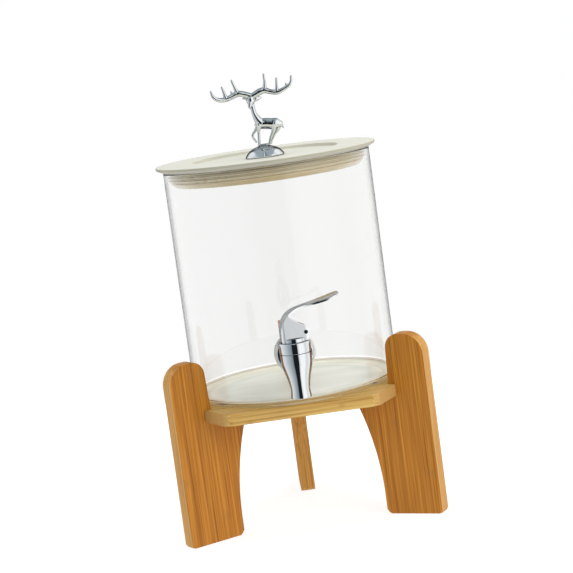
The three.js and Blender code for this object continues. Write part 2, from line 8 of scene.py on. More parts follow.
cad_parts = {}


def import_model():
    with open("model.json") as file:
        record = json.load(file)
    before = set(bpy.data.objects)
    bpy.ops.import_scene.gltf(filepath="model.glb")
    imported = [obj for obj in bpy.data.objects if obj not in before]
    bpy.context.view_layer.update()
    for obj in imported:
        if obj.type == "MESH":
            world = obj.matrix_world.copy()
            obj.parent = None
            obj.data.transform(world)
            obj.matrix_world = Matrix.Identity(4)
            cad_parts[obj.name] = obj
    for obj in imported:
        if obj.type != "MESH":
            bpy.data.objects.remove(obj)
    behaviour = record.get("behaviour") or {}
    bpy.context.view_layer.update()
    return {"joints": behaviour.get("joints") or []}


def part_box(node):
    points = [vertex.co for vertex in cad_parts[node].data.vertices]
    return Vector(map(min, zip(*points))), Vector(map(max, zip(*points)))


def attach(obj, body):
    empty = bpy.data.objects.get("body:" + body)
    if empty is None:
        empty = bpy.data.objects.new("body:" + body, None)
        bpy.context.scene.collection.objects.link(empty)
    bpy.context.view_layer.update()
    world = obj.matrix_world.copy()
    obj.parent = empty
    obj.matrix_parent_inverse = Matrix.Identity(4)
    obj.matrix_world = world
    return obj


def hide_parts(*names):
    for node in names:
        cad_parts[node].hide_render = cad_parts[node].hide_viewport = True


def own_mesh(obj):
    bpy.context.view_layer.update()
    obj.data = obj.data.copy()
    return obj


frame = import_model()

# Looks of a countertop beverage dispenser: a glass jar with a spring-closed chrome tap and a
# stoppered cream lid, on a slotted bamboo stand. Shapes are written in millimetres and
# become metres when a mesh is made.

MM = 0.001


def box_mm(node):
    low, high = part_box(node)
    return low / MM, high / MM


def joint(name):
    return next(j for j in frame["joints"] if j["name"] == name)


# ---------------------------- places, from the frame

SHELF_LOW, SHELF_HIGH = box_mm("shelf")
JAR_LOW, JAR_HIGH = box_mm("glass_jar")
COVER_LOW, COVER_HIGH = box_mm("lid_cover")
PLUG_LOW, PLUG_HIGH = box_mm("lid_plug")
SEAL_LOW, SEAL_HIGH = box_mm("lid_seal")
DOME_LOW, DOME_HIGH = box_mm("knob_base")
BACK_LEG_LOW, BACK_LEG_HIGH = box_mm("leg_back")
NUT_LOW, NUT_HIGH = box_mm("tap_back_nut")
WASHER_LOW, WASHER_HIGH = box_mm("tap_back_washer")
OUTER_GASKET_HIGH = box_mm("tap_gasket_outer")[1]
INNER_GASKET_HIGH = box_mm("tap_gasket_inner")[1]
TAP_LOW, TAP_HIGH = box_mm("tap_body")
SPRING_LOW, SPRING_HIGH = box_mm("tap_spring")

TAP_AXIS = Vector(joint("head_turn")["pos_m"]) / MM
LEVER_PIN = Vector(joint("lever_press")["pos_m"]) / MM
PIN_AXIS = Vector(joint("lever_press")["axis"])
HEAD_TURN = math.atan2(-PIN_AXIS.x, PIN_AXIS.y)
PIVOT_X = math.hypot(LEVER_PIN.x - TAP_AXIS.x, LEVER_PIN.y - TAP_AXIS.y)
PIVOT_Z = LEVER_PIN.z
LEG_ANGLES = {"front_left": 210, "front_right": 330, "back": 90}

# ---------------------------- outlines


def arc(cx, cy, radius, start, end, steps):
    """Points of a circular arc; angles in degrees."""
    angles = [math.radians(start + (end - start) * i / steps) for i in range(steps + 1)]
    return [(cx + radius * math.cos(a), cy + radius * math.sin(a)) for a in angles]


def rounded(corners, closed=True, steps=5):
    """An outline through (x, y, fillet radius) corners."""
    points = []
    count = len(corners)
    for i, (x, y, radius) in enumerate(corners):
        inside = closed or 0 < i < count - 1
        corner = Vector((x, y))
        if radius <= 0 or not inside:
            points.append((x, y))
            continue
        before = (Vector(corners[i - 1][:2]) - corner).normalized()
        after = (Vector(corners[(i + 1) % count][:2]) - corner).normalized()
        half = before.angle(after) / 2
        centre = corner + (before + after).normalized() * (radius / math.sin(half))
        first = corner + before * (radius / math.tan(half)) - centre
        last = corner + after * (radius / math.tan(half)) - centre
        turn = math.atan2(first.cross(last), first.dot(last))
        for k in range(steps + 1):
            spoke = Matrix.Rotation(turn * k / steps, 2) @ first
            points.append(tuple(centre + spoke))
    return points


def smooth_line(points, steps):
    """A Catmull-Rom curve through points of any dimension, steps pieces between each pair."""
    line = [Vector(p) for p in points]
    padded = [2 * line[0] - line[1], *line, 2 * line[-1] - line[-2]]
    curve = []
    for i in range(1, len(padded) - 2):
        a, b, c, d = padded[i - 1 : i + 3]
        for k in range(steps):
            t = k / steps
            curve.append(
                0.5 * (2 * b + (c - a) * t + (2 * a - 5 * b + 4 * c - d) * t**2
                       + (3 * b - a - 3 * c + d) * t**3)
            )
    return [tuple(p) for p in (*curve, line[-1])]


# ---------------------------- meshes


def link(name, bm):
    """An object of a mesh in millimetres."""
    bmesh.ops.scale(bm, vec=(MM, MM, MM), verts=bm.verts)
    mesh = bpy.data.meshes.new(name)
    bm.to_mesh(mesh)
    bm.free()
    obj = bpy.data.objects.new(name, mesh)
    bpy.context.scene.collection.objects.link(obj)
    return obj


def make(name, bm, sharp=35):
    """An object with its faces outward, shaded smooth up to a sharp angle."""
    bmesh.ops.remove_doubles(bm, verts=bm.verts, dist=1e-4)
    bmesh.ops.recalc_face_normals(bm, faces=bm.faces)
    obj = link(name, bm)
    shade(obj, sharp)
    return obj


def shade(obj, sharp=35):
    obj.data.shade_smooth()
    obj.data.set_sharp_from_angle(angle=math.radians(sharp))


def skin(bm, rows):
    """Faces between neighbouring rows of points; a row of one repeated point is a tip."""
    for low, high in zip(rows, rows[1:]):
        for k in range(len(low)):
            n = (k + 1) % len(low)
            corners = [low[k], low[n], high[n], high[k]]
            kept = [v for i, v in enumerate(corners) if v not in corners[:i]]
            if len(kept) > 2:
                bm.faces.new(kept)
    return bm


def lathe(profile, sides, radius_at=None):
    """A body turned about +Z from (radius, height) points: from axis to axis, or a ring."""
    on_axis = 1e-6
    ring = max(profile[0][0], profile[-1][0]) > on_axis
    bm = bmesh.new()
    rows = []
    for r, z in profile:
        if r < on_axis:
            rows.append([bm.verts.new((0, 0, z))] * sides)
            continue
        row = []
        for k in range(sides):
            a = 2 * math.pi * k / sides
            radius = radius_at(r, z, a) if radius_at else r
            row.append(bm.verts.new((radius * math.cos(a), radius * math.sin(a), z)))
        rows.append(row)
    return skin(bm, rows + rows[:1] if ring else rows)


def cylinder(radius, low, high, sides):
    return lathe([(0, low), (radius, low), (radius, high), (0, high)], sides)


def ring_outline(inner, outer, low, high, inner_edge, outer_edge, steps=3):
    """Section of a flat ring, its inner and outer rims rounded."""
    return rounded([(inner, low, inner_edge), (outer, low, outer_edge), (outer, high, outer_edge),
                    (inner, high, inner_edge)], steps=steps)


def along_y(bm, height):
    """Stands a body up at a height, so that its Z becomes the distance in front of the axis."""
    return move(upright(bm), z=height)


def move(bm, x=0, y=0, z=0):
    bmesh.ops.translate(bm, vec=(x, y, z), verts=bm.verts)
    return bm


def prism(outline, low, high, edge=0, segments=3):
    """An outline in X and Y raised from low to high along Z, its rims rounded by edge."""
    bm = bmesh.new()
    floor = [bm.verts.new((x, y, low)) for x, y in outline]
    roof = [bm.verts.new((x, y, high)) for x, y in outline]
    bm.faces.new(floor[::-1])
    bm.faces.new(roof)
    skin(bm, (floor, roof))
    if edge:
        rims = [e for e in bm.edges if abs(e.verts[0].co.z - e.verts[1].co.z) < 1e-6]
        bmesh.ops.bevel(bm, geom=rims, offset=edge, segments=segments, profile=0.5,
                        affect="EDGES", clamp_overlap=True)
    return bm


def upright(bm):
    """Stands a body up: what lay in X and Y lies in X and Z, and its heights run along -Y."""
    stand = Matrix(((1, 0, 0), (0, 0, -1), (0, 1, 0)))
    bmesh.ops.transform(bm, matrix=stand.to_4x4(), verts=bm.verts)
    return bm


def block(x0, x1, y0, y1, z0, z1):
    return prism([(x0, y0), (x1, y0), (x1, y1), (x0, y1)], z0, z1)


def limb(stations, sides=18, steps=6):
    """A tapered tube with rounded ends through stations (x, y, z, radius)."""
    bm = bmesh.new()
    line = smooth_line(stations, steps)
    centres = [Vector(p[:3]) for p in line]
    radii = [max(0.15, p[3]) for p in line]
    side = None
    rows = []
    for i, centre in enumerate(centres):
        ahead = centres[min(i + 1, len(line) - 1)] - centres[max(i - 1, 0)]
        ahead.normalize()
        if side is None:
            side = ahead.orthogonal().normalized()
        side = (side - ahead * side.dot(ahead)).normalized()
        across = ahead.cross(side)
        rings = [(0, 1)]
        if i == 0:
            rings = [(-radii[i] * math.sin(a), math.cos(a)) for a in (1.0, 0.5)] + rings
        elif i == len(line) - 1:
            rings += [(radii[i] * math.sin(a), math.cos(a)) for a in (0.5, 1.0)]
        for shift, share in rings:
            row = []
            for k in range(sides):
                a = 2 * math.pi * k / sides
                spoke = side * math.cos(a) + across * math.sin(a)
                row.append(bm.verts.new(centre + ahead * shift + spoke * radii[i] * share))
            rows.append(row)
    skin(bm, rows)
    bm.faces.new(rows[0][::-1])
    bm.faces.new(rows[-1])
    return bm


def rotate(bm, degrees, axis):
    bmesh.ops.rotate(bm, verts=bm.verts, matrix=Matrix.Rotation(math.radians(degrees), 3, axis))
    return bm


def ellipsoid(centre, radii):
    bm = bmesh.new()
    bmesh.ops.create_uvsphere(bm, u_segments=32, v_segments=20, radius=1)
    bmesh.ops.scale(bm, vec=radii, verts=bm.verts)
    return move(bm, *centre)


def bake(obj):
    """Applies an object's modifiers to its mesh."""
    graph = bpy.context.evaluated_depsgraph_get()
    mesh = bpy.data.meshes.new_from_object(obj.evaluated_get(graph))
    obj.modifiers.clear()
    obj.data = mesh


def keep_flat(obj):
    """Weights the shading by face size, so that broad faces stay flat beside rounded rims."""
    weight = obj.modifiers.new("weight", "WEIGHTED_NORMAL")
    weight.mode = "FACE_AREA"
    weight.weight = 100
    weight.keep_sharp = True
    bake(obj)


def combine(obj, operation, *bodies, sharp=35):
    """Joins bodies to an object, cuts them out of it, or keeps only what lies in them."""
    tools = [make("tool", body) for body in bodies]
    for tool in tools:
        modifier = obj.modifiers.new("combine", "BOOLEAN")
        modifier.operation = operation
        modifier.solver = "EXACT"
        modifier.object = tool
    bake(obj)
    for tool in tools:
        bpy.data.objects.remove(tool)
    shade(obj, sharp)
    return obj


def cast(name, parts, softening):
    """One body grown together from overlapping parts, with the soft edges of a casting."""
    whole = bmesh.new()
    for part in parts:
        bmesh.ops.recalc_face_normals(part, faces=part.faces)
        mesh = bpy.data.meshes.new("part")
        part.to_mesh(mesh)
        part.free()
        whole.from_mesh(mesh)
        bpy.data.meshes.remove(mesh)
    obj = link(name, whole)
    remesh = obj.modifiers.new("grow", "REMESH")
    remesh.mode = "VOXEL"
    remesh.voxel_size = 0.2 * MM
    soften = obj.modifiers.new("soften", "SMOOTH")
    soften.factor = 0.5
    soften.iterations = softening
    bake(obj)
    shade(obj, 60)
    return obj


# ---------------------------- materials


def add(tree, kind, inputs=None, output=0, **settings):
    """A shader node with its settings and inputs; sockets given as inputs are linked."""
    node = tree.nodes.new("ShaderNode" + kind)
    for key, value in settings.items():
        setattr(node, key, value)
    for key, value in (inputs or {}).items():
        if isinstance(value, bpy.types.NodeSocket):
            tree.links.new(value, node.inputs[key])
        else:
            node.inputs[key].default_value = value
    return node.outputs[output]


def calc(tree, operation, *values):
    return add(tree, "Math", dict(enumerate(values)), operation=operation)


def ramp(tree, factor, stops, smooth=False):
    """A colour ramp of {position: grey or (r, g, b)}."""
    output = add(tree, "ValToRGB", {"Fac": factor})
    colors = output.node.color_ramp
    colors.interpolation = "EASE" if smooth else "LINEAR"
    while len(colors.elements) < len(stops):
        colors.elements.new(0.5)
    for element, (position, color) in zip(colors.elements, sorted(stops.items())):
        element.position = position
        element.color = (*((color,) * 3 if isinstance(color, float) else color), 1)
    return output


def mix_color(tree, factor, a, b, blend="MIX"):
    output = add(tree, "Mix", {0: factor}, output=2, data_type="RGBA", blend_type=blend)
    for key, value in ((6, a), (7, b)):
        if isinstance(value, bpy.types.NodeSocket):
            tree.links.new(value, output.node.inputs[key])
        else:
            output.node.inputs[key].default_value = (*value, 1)
    return output


def surface(name, **values):
    """A new material and its Principled shader, set from keyword arguments."""
    material = bpy.data.materials.new(name)
    material.use_nodes = True
    shader = material.node_tree.nodes["Principled BSDF"]
    for key, value in values.items():
        socket = shader.inputs[key.replace("_", " ")]
        socket.default_value = (*value, 1) if isinstance(value, tuple) else value
    return material, material.node_tree, shader


def place(tree, stretch=(1, 1, 1)):
    """Object coordinates, scaled per axis."""
    coordinates = add(tree, "TexCoord", output="Object")
    return add(tree, "Mapping", {"Vector": coordinates, "Scale": stretch})


def axes(tree, kind):
    """The X, Y and Z sockets of one kind of texture coordinates."""
    coordinates = add(tree, "TexCoord", output=kind)
    return dict(zip("XYZ", add(tree, "SeparateXYZ", {0: coordinates}).node.outputs))


def noise(tree, scale, detail, roughness=0.5, vector=None):
    """Noise on the object's coordinates, or on another vector."""
    return add(tree, "TexNoise", {"Vector": vector or place(tree), "Scale": scale,
                                  "Detail": detail, "Roughness": roughness})


def feed(shader, **sockets):
    """Links sockets to the inputs of a shader."""
    for key, value in sockets.items():
        shader.id_data.links.new(value, shader.inputs[key.replace("_", " ")])


def bump(shader, height, strength, distance):
    feed(shader, Normal=add(shader.id_data, "Bump", {"Height": height, "Strength": strength,
                                                     "Distance": distance}))


def bamboo(name, grain, across, dark, middle, light, strip, layers, seed, end_tone, end_axis):
    """Laminated bamboo: glued strips, fine fibres along the grain axis and faint knuckles."""
    material, tree, shader = surface(name, Coat_Weight=0.06, Coat_Roughness=0.3,
                                     Specular_IOR_Level=0.28)
    at = axes(tree, "Object")
    through = next(at[axis] for axis in "XYZ" if axis not in (grain, across))

    stagger = 0.37
    layer_seed = 7.3
    layer = calc(tree, "FLOOR", calc(tree, "DIVIDE", through, layers))
    column = calc(tree, "FLOOR", calc(tree, "ADD", calc(tree, "DIVIDE", at[across], strip),
                                      calc(tree, "MULTIPLY", layer, stagger)))
    column_and_layer = calc(tree, "ADD", column, calc(tree, "MULTIPLY", layer, layer_seed))
    cell = calc(tree, "ADD", column_and_layer, seed)
    tone = add(tree, "TexWhiteNoise", {"W": cell}, noise_dimensions="1D")
    shift = add(tree, "CombineXYZ", {"X": calc(tree, "MULTIPLY", tone, 0.9), "Y": cell})

    def fibres(length, scale, detail):
        """Noise drawn out along the grain: a smaller length factor makes longer fibres."""
        mapped = place(tree, tuple(length if axis == grain else 1 for axis in "XYZ"))
        moved = add(tree, "VectorMath", {0: mapped, 1: shift}, operation="ADD")
        return noise(tree, scale, detail, 0.6, moved)

    broad = fibres(0.02, 330, 3)
    fine = fibres(0.012, 760, 3)
    threads = fibres(0.010, 1050, 2)

    color = ramp(tree, broad, {0.3: dark, 0.5: middle, 0.68: light})
    streak = ramp(tree, fine, {0.32: (0.70, 0.60, 0.42), 0.5: (0.98, 0.98, 0.96),
                               0.7: (1.14, 1.17, 1.24)})
    thread = ramp(tree, threads, {0.30: (0.56, 0.45, 0.30), 0.46: (0.98, 0.98, 0.97),
                                  0.62: (1.0, 1.0, 1.0), 0.74: (1.20, 1.26, 1.40)})
    strips = ramp(tree, tone, {0.0: (0.88, 0.85, 0.78), 0.5: (1.0, 1.0, 1.0),
                               1.0: (1.08, 1.10, 1.14)})
    for share, layer_color in ((0.75, streak), (0.8, thread), (0.8, strips)):
        color = mix_color(tree, share, color, layer_color, "MULTIPLY")

    spacing = 0.31
    along = calc(tree, "ADD", calc(tree, "DIVIDE", at[grain], spacing), tone)
    knuckle_at = calc(tree, "FRACT", along)
    knuckle = ramp(tree, knuckle_at, {0.484: 0.0, 0.494: 0.7, 0.5: 1.0, 0.506: 0.3, 0.512: 0.0})
    weight = calc(tree, "MULTIPLY", knuckle, 0.35)
    color = mix_color(tree, weight, color, (0.30, 0.14, 0.035))

    ends = calc(tree, "ABSOLUTE", axes(tree, "Normal")[end_axis])
    end_share = ramp(tree, ends, {0.3: 0.0, 0.75: 1.0})
    if end_axis == across:
        end_grain = mix_color(tree, 1.0, end_tone, streak, "MULTIPLY")
    else:
        pores = noise(tree, 1900, 2)
        end_grain = ramp(tree, pores, {0.35: tuple(c * 0.72 for c in end_tone), 0.6: end_tone})
    color = mix_color(tree, end_share, color, end_grain)
    feed(shader, Base_Color=color, Roughness=ramp(tree, fine, {0.3: 0.58, 0.7: 0.44}))
    height = calc(tree, "ADD", calc(tree, "MULTIPLY", fine, 0.6),
                  calc(tree, "MULTIPLY", threads, 0.4))
    bump(shader, height, 0.35, 0.0002)
    return material


def let_light_through(tree, shader, tint):
    """Lets shadow and diffuse rays pass straight through, so that what stands behind is lit."""
    path = tree.nodes.new("ShaderNodeLightPath")
    through = calc(tree, "MAXIMUM", path.outputs["Is Shadow Ray"], path.outputs["Is Diffuse Ray"])
    clear = add(tree, "BsdfTransparent", {"Color": (*tint, 1)})
    mixed = add(tree, "MixShader", {0: through, 1: shader.outputs[0], 2: clear})
    tree.links.new(mixed, tree.nodes["Material Output"].inputs["Surface"])


def clear_glass(name, ior):
    """Clear glass whose rim and edges are painted darker as the view grazes them, a painted shade
    for the dark studio seen refracted there; lamps shine through.
    """
    material, tree, shader = surface(name, Roughness=0.0, IOR=ior, Transmission_Weight=1.0)
    facing = add(tree, "LayerWeight", {"Blend": 0.5}, output=1)
    body = (0.955, 0.958, 0.952)
    # Painted shade: on the wall the colour darkens towards grazing edges, standing in for dark
    # surroundings refracted in the glass.
    tint = ramp(tree, facing, {0.0: body, 0.70: body, 0.82: (0.80, 0.815, 0.80),
                               0.94: (0.42, 0.44, 0.43)})
    wall = ramp(tree, axes(tree, "Object")["Z"], {0.122: 0.0, 0.128: 1.0, 0.305: 1.0, 0.312: 0.0})
    feed(shader, Base_Color=mix_color(tree, wall, body, tint))
    waves = noise(tree, 22, 1)
    bump(shader, waves, 0.03, 0.001)
    let_light_through(tree, shader, (0.97, 0.98, 0.97))
    return material


def behind_front(tree):
    """Distance behind a line ahead of the jar, for glass that is clearer towards the front."""
    line = 0.1
    return calc(tree, "ADD", axes(tree, "Object")["Y"], line)


def pressed_glass(name):
    """The milky pressed bottom of the jar, with painted light in its pale middle and painted
    reflections of the wood in the warmer rings at its thick rim.
    """
    material, tree, shader = surface(name, Roughness=0.3, Specular_IOR_Level=0.3)
    front = ramp(tree, behind_front(tree), {0.05: 0.25, 0.12: 0.9})
    radius = add(tree, "VectorMath", {0: place(tree, (1, 1, 0))}, output=1, operation="LENGTH")
    # Painted light and painted reflection: the rings paint the wood and studio as seen through the
    # thick bottom.
    rings = ramp(tree, radius, {
        0.0: (0.92, 0.89, 0.82), 0.056: (0.94, 0.92, 0.86), 0.0625: (0.82, 0.82, 0.75),
        0.0695: (0.78, 0.78, 0.70), 0.0715: (0.95, 0.92, 0.84), 0.0765: (0.93, 0.90, 0.80),
        0.0785: (0.78, 0.70, 0.55), 0.0805: (0.95, 0.93, 0.86), 0.085: (0.90, 0.87, 0.78),
        0.0875: (0.72, 0.65, 0.50), 0.0895: (0.66, 0.59, 0.44)})
    outer = ramp(tree, radius, {0.084: 0.0, 0.087: 1.0})
    alpha = mix_color(tree, outer, (0.9, 0.9, 0.9), front)
    cloud = noise(tree, 22, 3, vector=place(tree, (1, 2.4, 1)))
    cloudy = ramp(tree, cloud, {0.35: (0.88, 0.89, 0.87), 0.65: (1.0, 1.0, 1.0)})
    feed(shader, Base_Color=mix_color(tree, 1.0, rings, cloudy, "MULTIPLY"), Alpha=alpha)
    bump(shader, cloud, 0.08, 0.001)
    let_light_through(tree, shader, (0.92, 0.91, 0.88))
    return material


def heel_glass(name):
    """The thin clear heel of the jar between its wall and its bottom, all but unseen at the front;
    its beige, stronger towards the back, is a painted reflection of the wood below.
    """
    material, tree, shader = surface(name, Roughness=0.02, IOR=1.2)
    front = ramp(tree, behind_front(tree), {0.04: 0.08, 0.13: 0.62})
    cloud = noise(tree, 40, 2)
    # Painted reflection: the beige stands in for the wood seen through the heel.
    cloudy = ramp(tree, cloud, {0.3: (0.56, 0.51, 0.40), 0.7: (0.62, 0.57, 0.46)})
    feed(shader, Base_Color=cloudy, Alpha=front)
    bump(shader, cloud, 0.05, 0.001)
    let_light_through(tree, shader, (0.97, 0.97, 0.96))
    return material


def plated(name, color, smear, edge, start=0.52, end=0.86):
    """Mirror plating with painted shade: its colour darkens by edge as the view grazes it, standing
    in for dark surroundings reflected there; faintly smeared and wavy.
    """
    # Painted shade: the edge also dims the tint of the grazing reflection.
    material, tree, shader = surface(name, Metallic=1.0, Specular_Tint=(edge ** 0.5,) * 3)
    facing = add(tree, "LayerWeight", {"Blend": 0.5}, output=1)
    middle = start + 0.53 * (end - start)
    midway_painted_shade = 0.55 + 0.45 * edge
    # Painted reflection: the colour darkens towards grazing edges.
    tint = ramp(tree, facing, {0.0: color, start: color,
                               middle: tuple(c * midway_painted_shade for c in color),
                               end: tuple(c * edge for c in color)})
    patches = noise(tree, 130, 3)
    feed(shader, Base_Color=tint, Roughness=ramp(tree, patches, {0.35: smear, 0.7: smear * 2.2}))
    waves = noise(tree, 240, 1)
    bump(shader, waves, 0.04, 0.0004)
    return material


def moulded(name, color, roughness, coat=0.0, transmission=0.0, side=None):
    """Moulded plastic or silicone, faintly cloudy; upright faces may be painted a darker tone, a
    painted shade where less light falls on them than on the tops.
    """
    material, tree, shader = surface(
        name, Coat_Weight=coat, Coat_Roughness=0.12, Transmission_Weight=transmission,
        IOR=1.46, Specular_IOR_Level=0.35)
    cloud = noise(tree, 60, 3)
    tone = ramp(tree, cloud, {0.3: tuple(c * 0.97 for c in color), 0.7: color})
    # Painted shade: where a side colour is given, upright faces take it.
    if side:
        level = calc(tree, "ABSOLUTE", axes(tree, "Normal")["Z"])
        tone = mix_color(tree, ramp(tree, level, {0.35: 1.0, 0.75: 0.0}), tone, side)
    gloss = ramp(tree, cloud, {0.3: roughness, 0.7: roughness * 1.3})
    feed(shader, Base_Color=tone, Roughness=gloss)
    grain = noise(tree, 1800, 2)
    bump(shader, grain, 0.02, 0.0001)
    return material


LEG_WOOD = bamboo(
    "leg_bamboo", grain="Z", across="X", dark=(0.38, 0.140, 0.011), middle=(0.46, 0.172, 0.014),
    light=(0.54, 0.225, 0.024), strip=0.0068, layers=0.02, seed=3.0,
    end_tone=(0.54, 0.27, 0.060), end_axis="X")
SHELF_WOOD = bamboo(
    "shelf_bamboo", grain="X", across="Y", dark=(0.46, 0.26, 0.065), middle=(0.58, 0.35, 0.10),
    light=(0.68, 0.45, 0.15), strip=0.014, layers=0.0037, seed=11.0,
    end_tone=(0.53, 0.31, 0.10), end_axis="X")
GLASS = clear_glass("jar_glass", 1.5)
BASE_GLASS = pressed_glass("jar_base_glass")
HEEL_GLASS = heel_glass("jar_heel_glass")
# Painted shade: for each plating, the edge and the two angles after it set how dark its grazing
# edges are painted, and from where.
CHROME = plated("chrome_plating", (0.82, 0.84, 0.86), 0.03, 0.16)
# The stag's plating is painted dark from a shallower angle: painted shade for the dark studio that
# its thin antlers and legs reflect.
CAST_CHROME = plated("cast_chrome_plating", (0.84, 0.86, 0.87), 0.03, 0.12, 0.36, 0.70)
LEVER_CHROME = plated("lever_plating", (0.88, 0.89, 0.90), 0.03, 0.15, 0.78, 0.97)
STEEL = plated("turned_steel", (0.56, 0.57, 0.58), 0.2, 0.6)
DARK_STEEL = plated("blackened_steel", (0.035, 0.037, 0.04), 0.3, 1.0)
# The cream's side colour is painted shade on its upright faces, such as the lid's rim and the
# recess bank.
CREAM = moulded("cream_plastic", (0.525, 0.512, 0.44), 0.42, side=(0.41, 0.385, 0.295))
# The plug's cream is painted darker and browner: painted shade where it stands under the lid's rim.
SHADED_CREAM = moulded("shade_darkened_cream_plastic", (0.50, 0.385, 0.205), 0.3, coat=1.0)
# The seal's darker brown is painted shade under the lid's rim.
SEAL = moulded("shade_darkened_silicone", (0.64, 0.53, 0.33), 0.26, coat=1.0, transmission=0.2)
SILICONE = moulded("clear_silicone", (0.86, 0.85, 0.80), 0.32, transmission=0.45)
WHITE = moulded("white_nylon", (0.80, 0.80, 0.78), 0.4)


def piece(obj, body, material, slot, *nodes):
    """Gives a piece its material and body, and hides the CAD nodes that it stands for; its slot is
    not used.
    """
    obj.data.materials.clear()
    obj.data.materials.append(material)
    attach(obj, body)
    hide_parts(*nodes)


# ---------------------------- stand

BOARD = BACK_LEG_HIGH.x - BACK_LEG_LOW.x
LEG_OUTER = BACK_LEG_HIGH.y
LEG_FOOT_INNER = LEG_OUTER - 51.5
LEG_TOP = BACK_LEG_HIGH.z
LEG_UPPER_INNER = JAR_HIGH.x + 3.3
SHELF_TOP = SHELF_HIGH.z
SHELF_BOTTOM = SHELF_LOW.z
SCREW_AT = 75
SCREW_LENGTH = 32
SCREW_POINT = 5
SCREW_R = 2
SCREW_HEAD_R = 4
SCREW_HEAD_DEPTH = 2
GAP = 0.3


def countersink():
    """The hole of a shelf screw, GAP wider than the screw all round."""
    radius, head, point = SCREW_R + GAP, SCREW_HEAD_R + GAP, 0.6 + GAP
    hole = lathe([(0, -SCREW_LENGTH - GAP), (point, -SCREW_LENGTH - GAP),
                  (radius, SCREW_POINT - SCREW_LENGTH), (radius, -SCREW_HEAD_DEPTH - GAP),
                  (head, -GAP), (head, 1), (0, 1)], 48)
    return move(hole, SCREW_AT, 0, SHELF_TOP)


def leg(place_name, angle):
    shoulder = SHELF_BOTTOM - GAP
    arch = 227
    arch_z = 15
    rise = math.degrees(math.asin((shoulder - arch_z) / arch))
    toe, heel, top_outer, top_inner = 3.5, 2, 18, 12
    outline = [
        *arc(LEG_FOOT_INNER + toe, toe, toe, 180, 270, 6),
        *arc(LEG_OUTER - heel, heel, heel, 270, 360, 6),
        *arc(LEG_OUTER - top_outer, LEG_TOP - top_outer, top_outer, 0, 90, 18),
        *arc(LEG_UPPER_INNER + top_inner, LEG_TOP - top_inner, top_inner, 90, 180, 14),
        (LEG_UPPER_INNER, shoulder),
        *arc(LEG_FOOT_INNER - arch, arch_z, arch, rise, 0, 24),
    ]
    board = make(f"bamboo_leg_{place_name}",
                 upright(prism(outline, -BOARD / 2, BOARD / 2, 1.8, 4)))
    keep_flat(combine(board, "DIFFERENCE", countersink()))
    board.rotation_euler.z = math.radians(angle)
    piece(board, "stand", LEG_WOOD, "bamboo_leg", f"leg_{place_name}")


def shelf():
    face = 98.5
    half = 42
    corner_round = 11
    slot_half = BOARD / 2 + GAP
    corner = [(face, -half), (face, -slot_half), (LEG_UPPER_INNER - GAP, -slot_half),
              (LEG_UPPER_INNER - GAP, slot_half), (face, slot_half), (face, half)]
    outline = []
    holes = []
    for angle in sorted(LEG_ANGLES.values()):
        spin = Matrix.Rotation(math.radians(angle), 2)
        for i, point in enumerate(corner):
            edge = corner_round if i in (0, len(corner) - 1) else 0
            outline.append((*(spin @ Vector(point)), edge))
        holes.append(rotate(countersink(), angle, "Z"))
    slab = make("bamboo_shelf", prism(rounded(outline, steps=6), SHELF_BOTTOM, SHELF_TOP, 1.1, 4))
    keep_flat(combine(slab, "DIFFERENCE", *holes))
    piece(slab, "stand", SHELF_WOOD, "bamboo_shelf", "shelf")


def shelf_screw(place_name, angle):
    pitch = 1.6
    depth = 0.55
    thread_top = -8
    row = 0.2

    def thread(radius, z, a):
        if z >= thread_top or radius < SCREW_R:
            return radius
        phase = (z / pitch + a / (2 * math.pi)) % 1
        return radius - depth * min(1, abs(phase - 0.5) * 3)

    shank_end = SCREW_POINT - SCREW_LENGTH
    rows = round((-SCREW_HEAD_DEPTH - shank_end) / row) + 1
    shank = [(SCREW_R, shank_end + row * i) for i in range(rows)]
    profile = [(0, -SCREW_LENGTH), (0.5, -SCREW_LENGTH + 0.2), *shank, (SCREW_HEAD_R, -0.35),
               (SCREW_HEAD_R - 0.1, -0.15), (0, -0.15)]
    screw = make(f"wood_screw_{place_name}", lathe(profile, 40, radius_at=thread))
    long, thin, deep = 2.2, 0.42, -1.5
    combine(screw, "DIFFERENCE", block(-long, long, -thin, thin, deep, 1),
            block(-thin, thin, -long, long, deep, 1))
    a = math.radians(angle)
    screw.location = Vector((SCREW_AT * math.cos(a), SCREW_AT * math.sin(a), SHELF_TOP)) * MM
    screw.rotation_euler.z = a
    piece(screw, "stand", STEEL, "steel", f"shelf_screw_{place_name}")


for place_name, angle in LEG_ANGLES.items():
    leg(place_name, angle)
    shelf_screw(place_name, angle)
shelf()

# ---------------------------- jar

JAR_R = JAR_HIGH.x
JAR_INNER = JAR_R - 3
JAR_BOTTOM = JAR_LOW.z
JAR_FLOOR = JAR_BOTTOM + 3.2
JAR_TOP = JAR_HIGH.z
SHANK_Z = (NUT_LOW.z + NUT_HIGH.z) / 2
SHANK_R = 7.8


